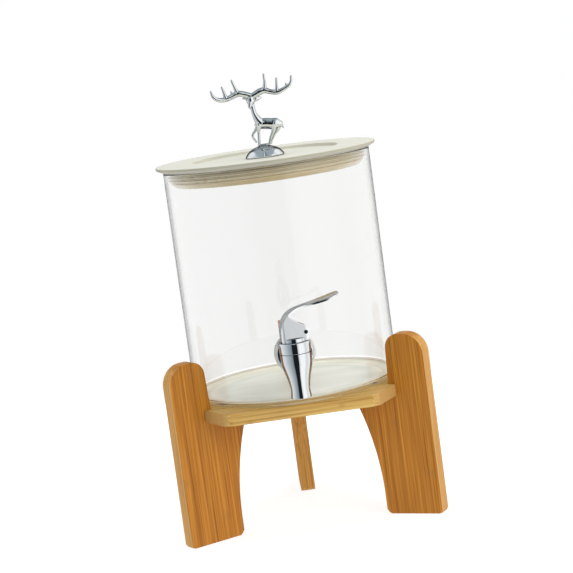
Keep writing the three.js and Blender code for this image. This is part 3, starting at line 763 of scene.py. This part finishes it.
def jar():
    heel = 6
    inner_heel = 5
    rim = (JAR_R - JAR_INNER) / 2
    hollow = JAR_BOTTOM + 0.8
    wall = [136, 148, 154, 160, 166, 172, 184, 220, 270]
    profile = [
        (0, hollow), (30, hollow),
        *smooth_line([(60, hollow), (63, hollow - 0.15), (66, JAR_BOTTOM + 0.15),
                      (69, JAR_BOTTOM)], 4),
        *arc(JAR_R - heel, JAR_BOTTOM + heel, heel, -90, 0, 12),
        *[(JAR_R, z) for z in wall],
        *arc(JAR_R - rim, JAR_TOP - rim, rim, 0, 180, 14),
        *[(JAR_INNER, z) for z in reversed(wall)],
        *arc(JAR_INNER - inner_heel, JAR_FLOOR + inner_heel, inner_heel, 0, -90, 12),
        (60, JAR_FLOOR), (0, JAR_FLOOR),
    ]
    vessel = make("jar", lathe(profile, 240), 30)
    hole = along_y(cylinder(SHANK_R + 0.5, JAR_INNER - 12, JAR_R + 6, 96), SHANK_Z)
    combine(vessel, "DIFFERENCE", hole, sharp=30)
    true_walls(vessel.data)
    piece(vessel, "jar", GLASS, "glass", "glass_jar")
    # The heel and base materials carry painted light and painted reflections of the wood.
    vessel.data.materials.append(HEEL_GLASS)
    vessel.data.materials.append(BASE_GLASS)
    heel_slot, base_slot = 1, 2
    for face in vessel.data.polygons:
        height = face.center.z / MM
        radius = math.hypot(face.center.x, face.center.y) / MM
        foot_ring = height < JAR_BOTTOM + 2.2 and radius > JAR_R - 3.5
        floor_disc = face.normal.z > 0.75 and height < JAR_FLOOR + 1.5
        if foot_ring or floor_disc:
            face.material_index = base_slot
        elif height < JAR_FLOOR + 2.5:
            face.material_index = heel_slot


def true_walls(mesh):
    """Sets exact normals on the jar's walls, so that the cut hole leaves no dents."""
    low, high = 130 * MM, 300 * MM
    near = 0.06
    normals = [Vector(n.vector) for n in mesh.corner_normals]
    for face in mesh.polygons:
        if not low < face.center.z < high or abs(face.normal.z) > 0.02:
            continue
        radius = math.hypot(face.center.x, face.center.y) / MM
        for wall, way in ((JAR_R, 1), (JAR_INNER, -1)):
            if abs(radius - wall) < near:
                for k in face.loop_indices:
                    point = mesh.vertices[mesh.loops[k].vertex_index].co
                    normals[k] = Vector((point.x, point.y, 0)).normalized() * way
    mesh.normals_split_custom_set(normals)


def saddle_washer(name, radius, flat, wall, outside):
    """A ring flat on one face and hollowed to the jar wall on the other, with rounded rims."""
    hole = SHANK_R + GAP
    edge = 0.7
    middle = (hole + radius) / 2
    rows = 10
    on_wall = 50
    flat_side = [(hole, 1), (hole + edge * 0.4, 0), (middle, 0), (radius - edge, 0),
                 (radius - edge * 0.3, edge * 0.35), (radius, edge)]
    wall_side = [(radius - (radius - hole) * i / rows, on_wall) for i in range(rows + 1)]
    bm = lathe(flat_side + wall_side, 160)
    for vertex in bm.verts:
        x, z, height = vertex.co
        if height == on_wall:
            distance = math.sqrt(wall**2 - x**2)
        else:
            distance = flat - height if outside else flat + height
        vertex.co = (x, -distance, SHANK_Z + z)
    return make(name, bm, 40)


def threaded_shank(start, end):
    """The tap's shank, with the thread that the back nut runs on."""
    pitch = 1.8
    depth = 0.8
    plain_from = JAR_R - 1

    def thread(radius, y, a):
        if radius < SHANK_R - 0.5 or y > plain_from:
            return radius
        phase = (y / pitch + a / (2 * math.pi)) % 1
        return radius - depth * abs(phase - 0.5) * 2 * min(1, (y - end) / 0.8)

    steps = int((start - end) / 0.25)
    side = [(SHANK_R, end + (start - end) * i / steps) for i in range(steps + 1)]
    profile = [(0, end), (SHANK_R - 0.9, end), *side, (0, start)]
    return along_y(lathe(profile, 64, radius_at=thread), SHANK_Z)


def tap_body():
    out = -TAP_AXIS.y
    outlet = TAP_LOW.z
    outlet_r = 5.2
    chamber_r = 7.2
    collar_r = 13.2
    shoulder = 163
    neck = TAP_HIGH.z
    waist = smooth_line([(8.5, outlet + 1.6), (8.0, 131.5), (8.3, 136), (9.4, 141.7), (11.2, 148),
                         (12.7, 154.5), (collar_r, shoulder)], 8)
    vase = make("tap_casting", move(lathe([
        (0, outlet), *arc(7.9, outlet + 0.6, 0.6, -90, -10, 5), *waist,
        (10.6, shoulder), (10.6, neck), (0, neck),
    ], 160), 0, -out, 0))
    flange = along_y(lathe([
        (0, 93.2), *arc(14.6, 95.4, 0.9, -90, 0, 5), *arc(14.2, 96.2, 1.3, 0, 90, 6), (0, 97.5),
    ], 128), SHANK_Z)
    bridge_z = 154
    bridge = along_y(cylinder(8.5, 94, out - 6, 64), bridge_z)
    shank_end = -NUT_HIGH.y - 2.9
    combine(vase, "UNION", flange, bridge, threaded_shank(96.5, shank_end))
    passage = move(lathe([
        (0, outlet - 1), (outlet_r + 0.6, outlet - 1), (outlet_r + 0.1, outlet + 1.6),
        (outlet_r, outlet + 2.6), (outlet_r, 151), (chamber_r, 153), (chamber_r, neck + 1),
        (0, neck + 1)], 96), 0, -out, 0)
    bore = along_y(cylinder(3.8, 60, out, 64), SHANK_Z - 1.8)
    combine(vase, "DIFFERENCE", passage, bore)
    piece(vase, "jar", CHROME, "chrome", "tap_body")


def back_nut():
    front = -NUT_LOW.y
    back = -NUT_HIGH.y
    radius = (NUT_HIGH.z - NUT_LOW.z) / 2
    hexagon = rounded([(radius * math.cos(a), radius * math.sin(a), 0.8)
                       for a in (math.radians(60 * i + 30) for i in range(6))])
    nut = make("hex_nut", along_y(prism(hexagon, back, front, 0.7), SHANK_Z))
    hole_r, mouth_r = SHANK_R + GAP, SHANK_R + 1.2
    hole = lathe([(0, back - 1), (mouth_r, back - 1), (hole_r, back + 0.6), (hole_r, front - 0.6),
                  (mouth_r, front + 1), (0, front + 1)], 96)
    keep_flat(combine(nut, "DIFFERENCE", along_y(hole, SHANK_Z)))
    piece(nut, "jar", WHITE, "white_plastic", "tap_back_nut")


def back_washer():
    outer = (WASHER_HIGH.x - WASHER_LOW.x) / 2
    ring = ring_outline(SHANK_R + GAP, outer, -WASHER_HIGH.y, -WASHER_LOW.y, 0.2, 0.4, steps=5)
    washer = make("slip_washer", along_y(lathe(ring, 120), SHANK_Z))
    piece(washer, "jar", WHITE, "white_plastic", "tap_back_washer")


jar()
tap_body()
piece(saddle_washer("outer_saddle_washer", OUTER_GASKET_HIGH.x, 94.2, JAR_R + GAP, True),
      "jar", SILICONE, "silicone", "tap_gasket_outer")
piece(saddle_washer("inner_saddle_washer", INNER_GASKET_HIGH.x, -INNER_GASKET_HIGH.y,
                    JAR_INNER - GAP, False),
      "jar", SILICONE, "silicone", "tap_gasket_inner")
back_washer()
back_nut()

# ---------------------------- tap head
# Built in the head's own frame: the upright tap axis at x = y = 0, the lever along +X.

COLLAR_R = 13.3
COLLAR_LOW = box_mm("tap_bonnet")[0].z
COLLAR_TOP = 172.5
HUB_HALF = 7
CHEEK = 2
PIN_HOLE_R = 1.7
LEDGE_TOP = PIVOT_Z - 2
PADDLE_DIP = 6.5


def on_head(obj):
    obj.location = Vector((TAP_AXIS.x, TAP_AXIS.y, 0)) * MM
    obj.rotation_euler = (0, 0, HEAD_TURN)
    return obj


def pin_cylinder(radius, reach, sides=48):
    ends = rounded([(0, -reach, 0), (radius, -reach, 0.25), (radius, reach, 0.25), (0, reach, 0)],
                   False, 3)
    return move(upright(lathe(ends, sides)), PIVOT_X, 0, PIVOT_Z)


def bonnet():
    under = 170.1
    cap = make("tap_collar", lathe(
        [(0, under), (10.9, under), (10.9, COLLAR_LOW), (COLLAR_R - 0.5, COLLAR_LOW),
         *arc(COLLAR_R - 0.5, COLLAR_LOW + 0.5, 0.5, -90, 0, 4)[1:],
         (COLLAR_R, 166.5), (COLLAR_R, 169.5),
         *arc(COLLAR_R - 0.9, COLLAR_TOP - 0.9, 0.9, 0, 90, 6), (0, COLLAR_TOP)], 160))
    half = 2.8
    half_width = 4.6
    post = [(PIVOT_X - half, COLLAR_TOP - 1), (PIVOT_X + half, COLLAR_TOP - 1),
            *arc(PIVOT_X, PIVOT_Z, half, 0, 180, 16)]
    combine(cap, "UNION", upright(prism(post, -half_width, half_width, 0.3)))
    combine(cap, "DIFFERENCE", cylinder(2.9, 160, 185, 48), pin_cylinder(PIN_HOLE_R, 20))
    piece(on_head(cap), "tap_head", CHROME, "chrome", "tap_bonnet")


def strip_outline(line, steps):
    """Side outline of the lever strip, its thickness laid off both ways from the centre line."""
    curve = [Vector(p) for p in smooth_line(line, steps)]
    outer, inner = [], []
    for i, point in enumerate(curve):
        t = i / (len(curve) - 1)
        ahead = (curve[min(i + 1, len(curve) - 1)] - curve[max(i - 1, 0)]).normalized()
        half = 2.1 - 1.15 * min(1, t * 1.8) - 0.25 * max(0, (t - 0.8) * 5)
        outer.append(tuple(point + Vector((-ahead.y, ahead.x)) * half))
        inner.append(tuple(point + Vector((ahead.y, -ahead.x)) * half))
    return inner + outer[::-1]


def strip_plan():
    """Top outline of the lever strip: hub width, drawn in, then a rounded paddle."""
    half = smooth_line([(-3, HUB_HALF), (1.5, 6.5), (6, 5.4), (11, 4.85), (15, 4.8), (20, 5.0),
                        (26, 5.75), (32, 6.5), (37.4, 6.1), (41, 3.8), (42.4, 0)], 6)
    side = [(-14, HUB_HALF), *half]
    return side + [(x, -y) for x, y in reversed(side[:-1])]


def dip_paddle(handle, line):
    """Turns the paddle a little about its own length, its near edge down."""
    neck, run = 9, 14
    curve = smooth_line(line, 8)
    for vertex in handle.data.vertices:
        x, y, z = vertex.co / MM
        share = min(1, max(0, (x - neck) / run))
        turn = math.radians(PADDLE_DIP) * share * share * (3 - 2 * share)
        if turn:
            middle = min(curve, key=lambda p: abs(p[0] - x))[1]
            rise = z - middle
            vertex.co.y = (y * math.cos(turn) - rise * math.sin(turn)) * MM
            vertex.co.z = (middle + rise * math.cos(turn) + y * math.sin(turn)) * MM


def lever():
    line = [(-8.6, 172.9), (-8.7, 181), (-7.1, 188.5), (-3.3, 194.4), (3.0, 198.3), (11.6, 200.5),
            (22.3, 202.1), (32, 204), (41.6, 206.8)]
    strip = make("strip", upright(prism(strip_outline(line, 8), -HUB_HALF - 1, HUB_HALF + 1)))
    combine(strip, "INTERSECT", prism(strip_plan(), 160, 220))
    blade = bmesh.new()
    blade.from_mesh(strip.data)
    bmesh.ops.scale(blade, vec=(1 / MM, 1 / MM, 1 / MM), verts=blade.verts)
    bpy.data.objects.remove(strip)
    low = COLLAR_TOP + GAP
    front = 12.4
    cheek = [(-8.4, low), *arc(front - 3, low + 3, 3, -90, 0, 10),
             *arc(front - 1.5, 182.8, 1.5, 0, 68, 6),
             (-0.2, 190.9), (-2.4, 193.6), (-5.4, 191), (-7, 184), (-7.8, 178)]
    roof = [(-6, 187.4), (-1.7, 187.7), (9.3, 183.3), (9.9, 185.2), (-1.5, 189.8), (-5.4, 189.3)]
    inside = HUB_HALF - CHEEK
    roof_half = HUB_HALF - 0.4
    ledge_half = HUB_HALF - 1
    parts = [blade, upright(prism(cheek, inside, HUB_HALF)),
             upright(prism(cheek, -HUB_HALF, -inside)),
             upright(prism(roof, -roof_half, roof_half)),
             block(-7.4, 5.2, -ledge_half, ledge_half, LEDGE_TOP - 2.5, LEDGE_TOP)]
    handle = cast("lever_handle", parts, 4)
    heel = -10.6
    fillet = 4.2
    half = HUB_HALF + 0.4
    turned_edge = arc(heel + fillet, half - fillet, fillet, 90, 180, 14)
    around = [(50, half), *turned_edge, *[(x, -y) for x, y in reversed(turned_edge)], (50, -half)]
    combine(handle, "INTERSECT", prism(around, 150, 230), sharp=50)
    dip_paddle(handle, line)
    slope = -13.5
    dish = rotate(rotate(ellipsoid((0, 0, 0), (15, 8.2, 2.4)), PADDLE_DIP, "X"), slope, "Y")
    combine(handle, "DIFFERENCE", move(dish, 31.5, 0, 206.7), sharp=50)
    fork = block(-2.6, 8, -1.9, 1.9, PIVOT_Z - 7, PIVOT_Z)
    combine(handle, "DIFFERENCE", fork, pin_cylinder(PIN_HOLE_R, 20, 64), sharp=50)
    piece(on_head(handle), "lever", LEVER_CHROME, "chrome", "tap_lever")


def valve():
    pin = make("hinge_pin", pin_cylinder(1.4, HUB_HALF - 0.4))
    piece(on_head(pin), "tap_head", DARK_STEEL, "steel", "tap_lever_pin")
    head_r = 3.3
    head = LEDGE_TOP + head_r + GAP
    rod = make("valve_rod", lathe([
        (0, 153.4), (2.2, 153.4), (2.2, 156.4), (4.9, 156.4), (5, 156.5), (5, 157.9), (4.9, 158),
        (2.5, 158), (2.5, 173.4), (1.5, 174.4), *arc(0, head, head_r, -63, 90, 24)], 64))
    piece(on_head(rod), "valve_stem", STEEL, "steel", "tap_stem")
    stopper = make("valve_stopper", lathe(rounded([
        (2.5, 153, 0.2), (4.6, 152.2, 0.4), (6.6, 154.2, 0.4), (6.6, 156.1, 0.4),
        (2.5, 156.1, 0.2)]), 72))
    piece(on_head(stopper), "valve_stem", SILICONE, "silicone", "tap_stem_seal")
    ring = make("collar_washer", lathe(ring_outline(7.4, 10.5, 169.1, 169.8, 0.2, 0.2), 96))
    piece(on_head(ring), "tap_head", SILICONE, "silicone", "tap_bonnet_gasket")


def spring():
    wire = 0.45
    coil_r = 4.1
    dead_pitch = wire * 2.1
    low = SPRING_LOW.z + wire
    high = SPRING_HIGH.z - wire
    turns = 6
    dead = 1 / turns
    count = turns * 40
    stations = []
    for i in range(count + 1):
        t = i / count
        a = 2 * math.pi * turns * t
        live = min(1, max(0, (t - dead) / (1 - 2 * dead)))
        lift = dead_pitch * (min(t, dead) + max(0, t - 1 + dead)) / dead
        z = low + lift + (high - low - 2 * dead_pitch) * live
        stations.append((coil_r * math.cos(a), coil_r * math.sin(a), z, wire * 0.98))
    coil = make("return_spring", limb(stations, 10, 1))
    piece(on_head(coil), "tap_head", STEEL, "steel", "tap_spring")
    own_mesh(coil)


bonnet()
lever()
valve()
spring()

# ---------------------------- lid

LID_R = COVER_HIGH.x
LID_TOP = COVER_HIGH.z
LID_FLOOR = 318
PLUG_R = PLUG_HIGH.x


def lid():
    under = COVER_LOW.z
    recess = 63
    seat = JAR_R + 0.6
    cover = make("lid_disc", lathe([
        (0, under), (88, under), (seat, under + 0.2),
        *rounded([(seat, under + 0.2, 0), (LID_R - 0.5, LID_TOP - 2.7, 0.7),
                  (LID_R, LID_TOP - 1.9, 0.6), (LID_R, LID_TOP, 0.8), (recess + 0.4, LID_TOP, 0.7),
                  (recess - 1.2, LID_FLOOR, 1.4), (0, LID_FLOOR, 0)], False, 6)[1:],
    ], 240))
    combine(cover, "DIFFERENCE", cylinder(2.1, 300, 330, 48))
    piece(cover, "lid", CREAM, "cream_plastic", "lid_cover")

    wall = 2
    groove = PLUG_R - 1.4
    groove_low, groove_high = SEAL_LOW.z - GAP, SEAL_HIGH.z + GAP
    inner = groove - wall
    bottom = PLUG_LOW.z
    plug = make("lid_plug_cup", lathe(rounded([
        (0, bottom, 0), (80.6, bottom, 2.4), (PLUG_R, groove_low - 1.1, 1.6),
        (PLUG_R, groove_low, 0.2), (groove, groove_low, 0), (groove, groove_high, 0),
        (PLUG_R, groove_high, 0.2), (PLUG_R, PLUG_HIGH.z, 0.4), (inner, PLUG_HIGH.z, 0.4),
        (inner, bottom + wall, 1.5), (0, bottom + wall, 0)], False), 240))
    # The plug takes the cream painted darker, as shade under the lid.
    piece(plug, "lid", SHADED_CREAM, "cream_plastic", "lid_plug")

    low, high = SEAL_LOW.z, SEAL_HIGH.z
    band = PLUG_R + 0.6
    rib = SEAL_HIGH.x
    back = groove + GAP
    ribs = []
    for base in (low + 0.9, low + 3.7):
        ribs += [(band, base, 0.15), (rib, base + 0.55, 0.25), (rib, base + 1.25, 0.25),
                 (band, base + 1.8, 0.15)]
    section = [(back, low, 0.1), (band, low, 0.3), *ribs, (band, high, 0.3), (back, high, 0.1)]
    seal = make("lid_seal_ring", lathe(rounded(section, steps=3), 240))
    # The seal takes a silicone painted darker, as shade under the lid.
    piece(seal, "lid", SEAL, "silicone", "lid_seal")


def knob():
    dome_r = DOME_HIGH.x
    low = DOME_LOW.z
    crown = smooth_line([(dome_r, low + 0.8), (16.1, 320.6), (13.8, 323.4), (10.8, 325.4),
                         (7.2, 326.9), (4.3, 327.8)], 8)
    dome = make("knob_dome", lathe(
        [(3.3, low), (dome_r - 0.6, low), (dome_r - 0.15, low + 0.25), *crown, (3.3, 327.9)], 160))
    piece(dome, "lid", CHROME, "chrome", "knob_base")

    washer_low, washer_high = box_mm("knob_washer")
    washer = make("knob_back_washer",
                  lathe(ring_outline(2, 6, washer_low.z, washer_high.z, 0.1, 0.2), 72))
    piece(washer, "lid", STEEL, "steel", "knob_washer")

    low = box_mm("knob_screw")[0].z
    head, shank, slot = 3.4, 1.6, 0.9
    screw = make("knob_back_screw", lathe([
        (0, low), (head - 1, low), (head - 0.3, low + 0.3), (head, low + 0.9), (head, low + 1.9),
        (shank, low + 1.9), (shank, 325.5), (shank - 0.5, 326.2), (0, 326.2)], 48))
    combine(screw, "DIFFERENCE", block(-4, 4, -0.4, 0.4, low - 1, low + slot))
    piece(screw, "lid", STEEL, "steel", "knob_screw")


def stag():
    """A stag in profile, head to the left and turned to the front, one forefoot raised."""
    near, far = -1.6, 1.6
    trunk = limb([(-3.2, 0, 345.6, 2.6), (-1, 0, 346.4, 4.3), (4, 0, 346.2, 4.8),
                  (9, 0, 345.4, 4.8), (13.2, 0, 345.2, 4.6), (16.6, 0, 344.4, 2.8)])
    bmesh.ops.scale(trunk, vec=(1, 0.82, 1), verts=trunk.verts)
    parts = [
        trunk,
        limb([(0.5, 0, 346.8, 4.0), (-2.2, -0.2, 350.6, 3.3), (-4.3, -0.4, 355.8, 2.2),
              (-5.2, -0.8, 361.5, 2.15), (-5.8, -1, 366, 2.4)]),
        ellipsoid((-6, -1.4, 367.8), (3.7, 3.4, 4.4)),
        limb([(-6, -1.6, 368, 2.4), (-6.8, -3.2, 365, 2.1), (-7.6, -4.6, 362.2, 1.4)]),
        limb([(-6.6, -0.8, 368.6, 1.7), (-9, -0.4, 369.8, 1.9), (-12.3, -0.6, 370, 0.7)]),
        limb([(-4.6, -0.8, 367.4, 1.8), (-0.8, -0.4, 368.5, 2.1), (3.4, -0.6, 369, 0.7)]),
        limb([(-1.8, near, 345.5, 2.6), (-2.7, near, 341.6, 1.6), (-3.1, near, 336.2, 1.2),
              (-3.7, near, 329, 1.3)]),
        limb([(-2.4, far, 345, 2), (-5.8, far, 340.9, 1.2), (-8.4, far, 336.9, 1.05),
              (-6, far, 331.4, 0.95)]),
        limb([(12, near, 345, 3), (10, near, 339.4, 1.7), (6.9, near, 333.7, 1.2),
              (5.4, near, 329, 1.3)]),
        limb([(14.6, far, 345, 3), (14.4, far, 340.2, 1.7), (11.2, far, 336.6, 1.2),
              (8.1, far, 332, 1.05), (6.4, far, 329, 1.1)]),
        limb([(15.6, 0, 346, 2), (17.4, 0, 343.8, 1.5), (19.3, 0, 340.4, 0.5)]),
        cylinder(3, DOME_LOW.z + 0.6, 328.4, 48),
    ]
    plinth = ellipsoid((0.6, 0, 328), (5.8, 3.2, 1.2))
    bmesh.ops.bisect_plane(plinth, geom=plinth.verts[:] + plinth.edges[:] + plinth.faces[:],
                           plane_co=(0, 0, 327.9), plane_no=(0, 0, -1), clear_outer=True)
    bmesh.ops.holes_fill(plinth, edges=plinth.edges[:])
    parts.append(plinth)

    def antler(*points):
        """A beam or tine through (x, z, radius) points, swept forward towards its ends."""
        sweep, middle, reach = 5, -4, 36
        return limb([(x, -1 - sweep * ((x - middle) / reach) ** 2, z, r) for x, z, r in points])

    parts += [
        antler((-4.5, 370.8, 2.6), (-10.6, 373.4, 2.6), (-16.1, 374.7, 2.6), (-22, 372.8, 2.3),
               (-27.8, 371.2, 2.1), (-34, 372, 1.8), (-37.6, 375, 1.4), (-39, 379.6, 0.95)),
        antler((-16.4, 375, 2.1), (-18.4, 381, 1.2), (-20.1, 386.6, 0.95)),
        antler((-26.8, 371.8, 2.0), (-28, 377.6, 1.2), (-29.2, 382, 0.95)),
        antler((-20.6, 373.4, 1.8), (-21.3, 375.8, 1.1), (-21.9, 377.2, 0.7)),
        antler((-4.5, 370.8, 2.6), (-1.8, 372, 2.7), (2.9, 374, 2.9), (7, 374.7, 2.6),
               (11.7, 372.9, 2.2), (17.2, 371.7, 2.1), (21.9, 373, 1.8), (27.9, 376.2, 1.5),
               (30.4, 379.4, 1.2), (31, 383.8, 0.95)),
        antler((7.1, 375, 2.1), (8, 382, 1.2), (7.9, 388.3, 0.95)),
        antler((17.3, 371.9, 2.0), (17.9, 378, 1.2), (18.3, 383.4, 0.95)),
        antler((26.2, 375, 1.6), (25.9, 377, 1.1), (25.7, 378.2, 0.7)),
    ]
    figure = cast("stag_figure", parts, 3)
    combine(figure, "DIFFERENCE", cylinder(1.9, 310, 327, 48), sharp=50)
    piece(figure, "lid", CAST_CHROME, "chrome", "knob_deer")


lid()
knob()
stag()

# ---------------------------- studio


def floor():
    """A pale table top, lit from below towards its rim so that it fades into the backdrop."""
    sides = 96
    bm = bmesh.new()
    spokes = [(math.cos(a), math.sin(a)) for a in (2 * math.pi * k / sides for k in range(sides))]
    rows = [[bm.verts.new((r * x, r * y, 0)) for x, y in spokes] for r in (620, 450, 300, 150)]
    rows.append([bm.verts.new((0, 0, 0))] * sides)
    table = make("studio_floor", skin(bm, rows))
    table.location.z = -0.0001
    material, tree, shader = surface("white_table", Base_Color=(0.3, 0.3, 0.3), Roughness=0.8,
                                     Specular_IOR_Level=0.1, Emission_Color=(1, 1, 1))
    distance = add(tree, "VectorMath", {0: place(tree)}, output=1, operation="LENGTH")
    glow = ramp(tree, distance, {0.10: 0.80, 0.34: 0.92, 0.60: 1.0}, smooth=True)
    feed(shader, Emission_Strength=glow)
    table.data.materials.append(material)
    table.visible_glossy = False


def world():
    """A white backdrop; what the polish reflects is a studio of pale and dark panels."""
    studio = bpy.data.worlds.new("studio")
    bpy.context.scene.world = studio
    studio.use_nodes = True
    tree = studio.node_tree
    tree.nodes.clear()
    at = axes(tree, "Generated")
    turn = calc(tree, "ARCTAN2", at["X"], calc(tree, "MULTIPLY", at["Y"], -1.0))
    around = calc(tree, "ADD", calc(tree, "DIVIDE", turn, 2 * math.pi), 0.5)
    dark = (0.012, 0.014, 0.016)
    panels = ramp(tree, around, {
        0.0: (1.0, 1.0, 1.0), 0.032: (1.0, 1.0, 1.0), 0.042: (0.15, 0.17, 0.17),
        0.085: (0.16, 0.18, 0.18), 0.10: (1.05, 1.05, 1.05),
        0.20: (0.86, 0.88, 0.90), 0.29: (0.62, 0.66, 0.69), 0.35: (0.42, 0.47, 0.50),
        0.403: (0.30, 0.35, 0.39), 0.428: (0.20, 0.24, 0.27), 0.439: dark, 0.539: dark,
        0.547: (0.66, 0.68, 0.69), 0.583: (1.1, 1.1, 1.1), 0.667: (1.1, 1.1, 1.1),
        0.72: (0.78, 0.79, 0.79), 0.80: (1.05, 1.05, 1.04), 0.90: (1.0, 1.0, 0.98),
        0.915: (0.16, 0.16, 0.16), 0.958: (0.16, 0.16, 0.16), 0.968: (1.0, 1.0, 1.0)})
    aside = calc(tree, "MULTIPLY", calc(tree, "ABSOLUTE", at["X"]), 0.55)
    ceiling = ramp(tree, calc(tree, "SUBTRACT", at["Z"], aside), {0.42: 0.0, 0.54: 1.0})
    overhead = ramp(tree, around, {
        0.40: (0.36, 0.42, 0.45), 0.47: (0.26, 0.32, 0.36), 0.478: (0.80, 0.83, 0.85),
        0.497: (0.80, 0.83, 0.85), 0.502: dark, 0.512: dark, 0.518: (0.22, 0.27, 0.31),
        0.60: (0.36, 0.42, 0.45)})
    color = mix_color(tree, ceiling, panels, overhead)
    table_share = ramp(tree, calc(tree, "MULTIPLY", at["Z"], -1.0), {0.80: 0.0, 0.90: 1.0})
    color = mix_color(tree, table_share, color, (0.92, 0.93, 0.93))
    path = tree.nodes.new("ShaderNodeLightPath")
    seen = calc(tree, "MAXIMUM", path.outputs["Is Camera Ray"], path.outputs["Is Transmission Ray"])
    color = mix_color(tree, seen, color, (1.0, 1.0, 1.0))
    background = add(tree, "Background", {"Color": color, "Strength": 1.0})
    output = tree.nodes.new("ShaderNodeOutputWorld")
    tree.links.new(background, output.inputs["Surface"])


def softbox(name, place_m, size, power):
    """A square lamp turned to the middle of the dispenser."""
    middle = Vector((0, 0, 0.2))
    data = bpy.data.lights.new(name, "AREA")
    data.shape = "SQUARE"
    data.size = size
    data.energy = power
    lamp = bpy.data.objects.new(name, data)
    bpy.context.scene.collection.objects.link(lamp)
    lamp.location = place_m
    lamp.rotation_mode = "QUATERNION"
    lamp.rotation_quaternion = (middle - Vector(place_m)).to_track_quat("-Z", "Y")
    lamp.visible_glossy = False
    lamp.visible_transmission = False


def camera():
    """The photograph's view: nearly straight on, a little from above, the picture turned."""
    azimuth, elevation, roll = (math.radians(a) for a in (-1.6, 7.78, 7.76))
    distance = 1.62132
    target = Vector((0.00305, 0, 0.20292))
    level = math.cos(elevation)
    back = Vector((math.sin(azimuth) * level, -math.cos(azimuth) * level, math.sin(elevation)))
    right = (-back).cross(Vector((0, 0, 1))).normalized()
    up = right.cross(-back)
    rolled_right = right * math.cos(roll) - up * math.sin(roll)
    rolled_up = right * math.sin(roll) + up * math.cos(roll)
    data = bpy.data.cameras.new("camera")
    data.sensor_width = 36
    data.lens = 116.5156
    data.clip_start, data.clip_end = 0.05, 50
    eye = bpy.data.objects.new("camera", data)
    bpy.context.scene.collection.objects.link(eye)
    pose = Matrix((rolled_right, rolled_up, back)).transposed().to_4x4()
    pose.translation = target + back * distance
    eye.matrix_world = pose
    bpy.context.scene.camera = eye


floor()
world()
softbox("right_panel", (0.75, -1.0, 0.75), 0.9, 8)
softbox("left_panel", (-0.9, -0.5, 0.5), 0.8, 2.5)
softbox("top_panel", (0.1, 0.1, 1.3), 0.9, 10)
camera()
bpy.context.scene.view_settings.view_transform = "Standard"
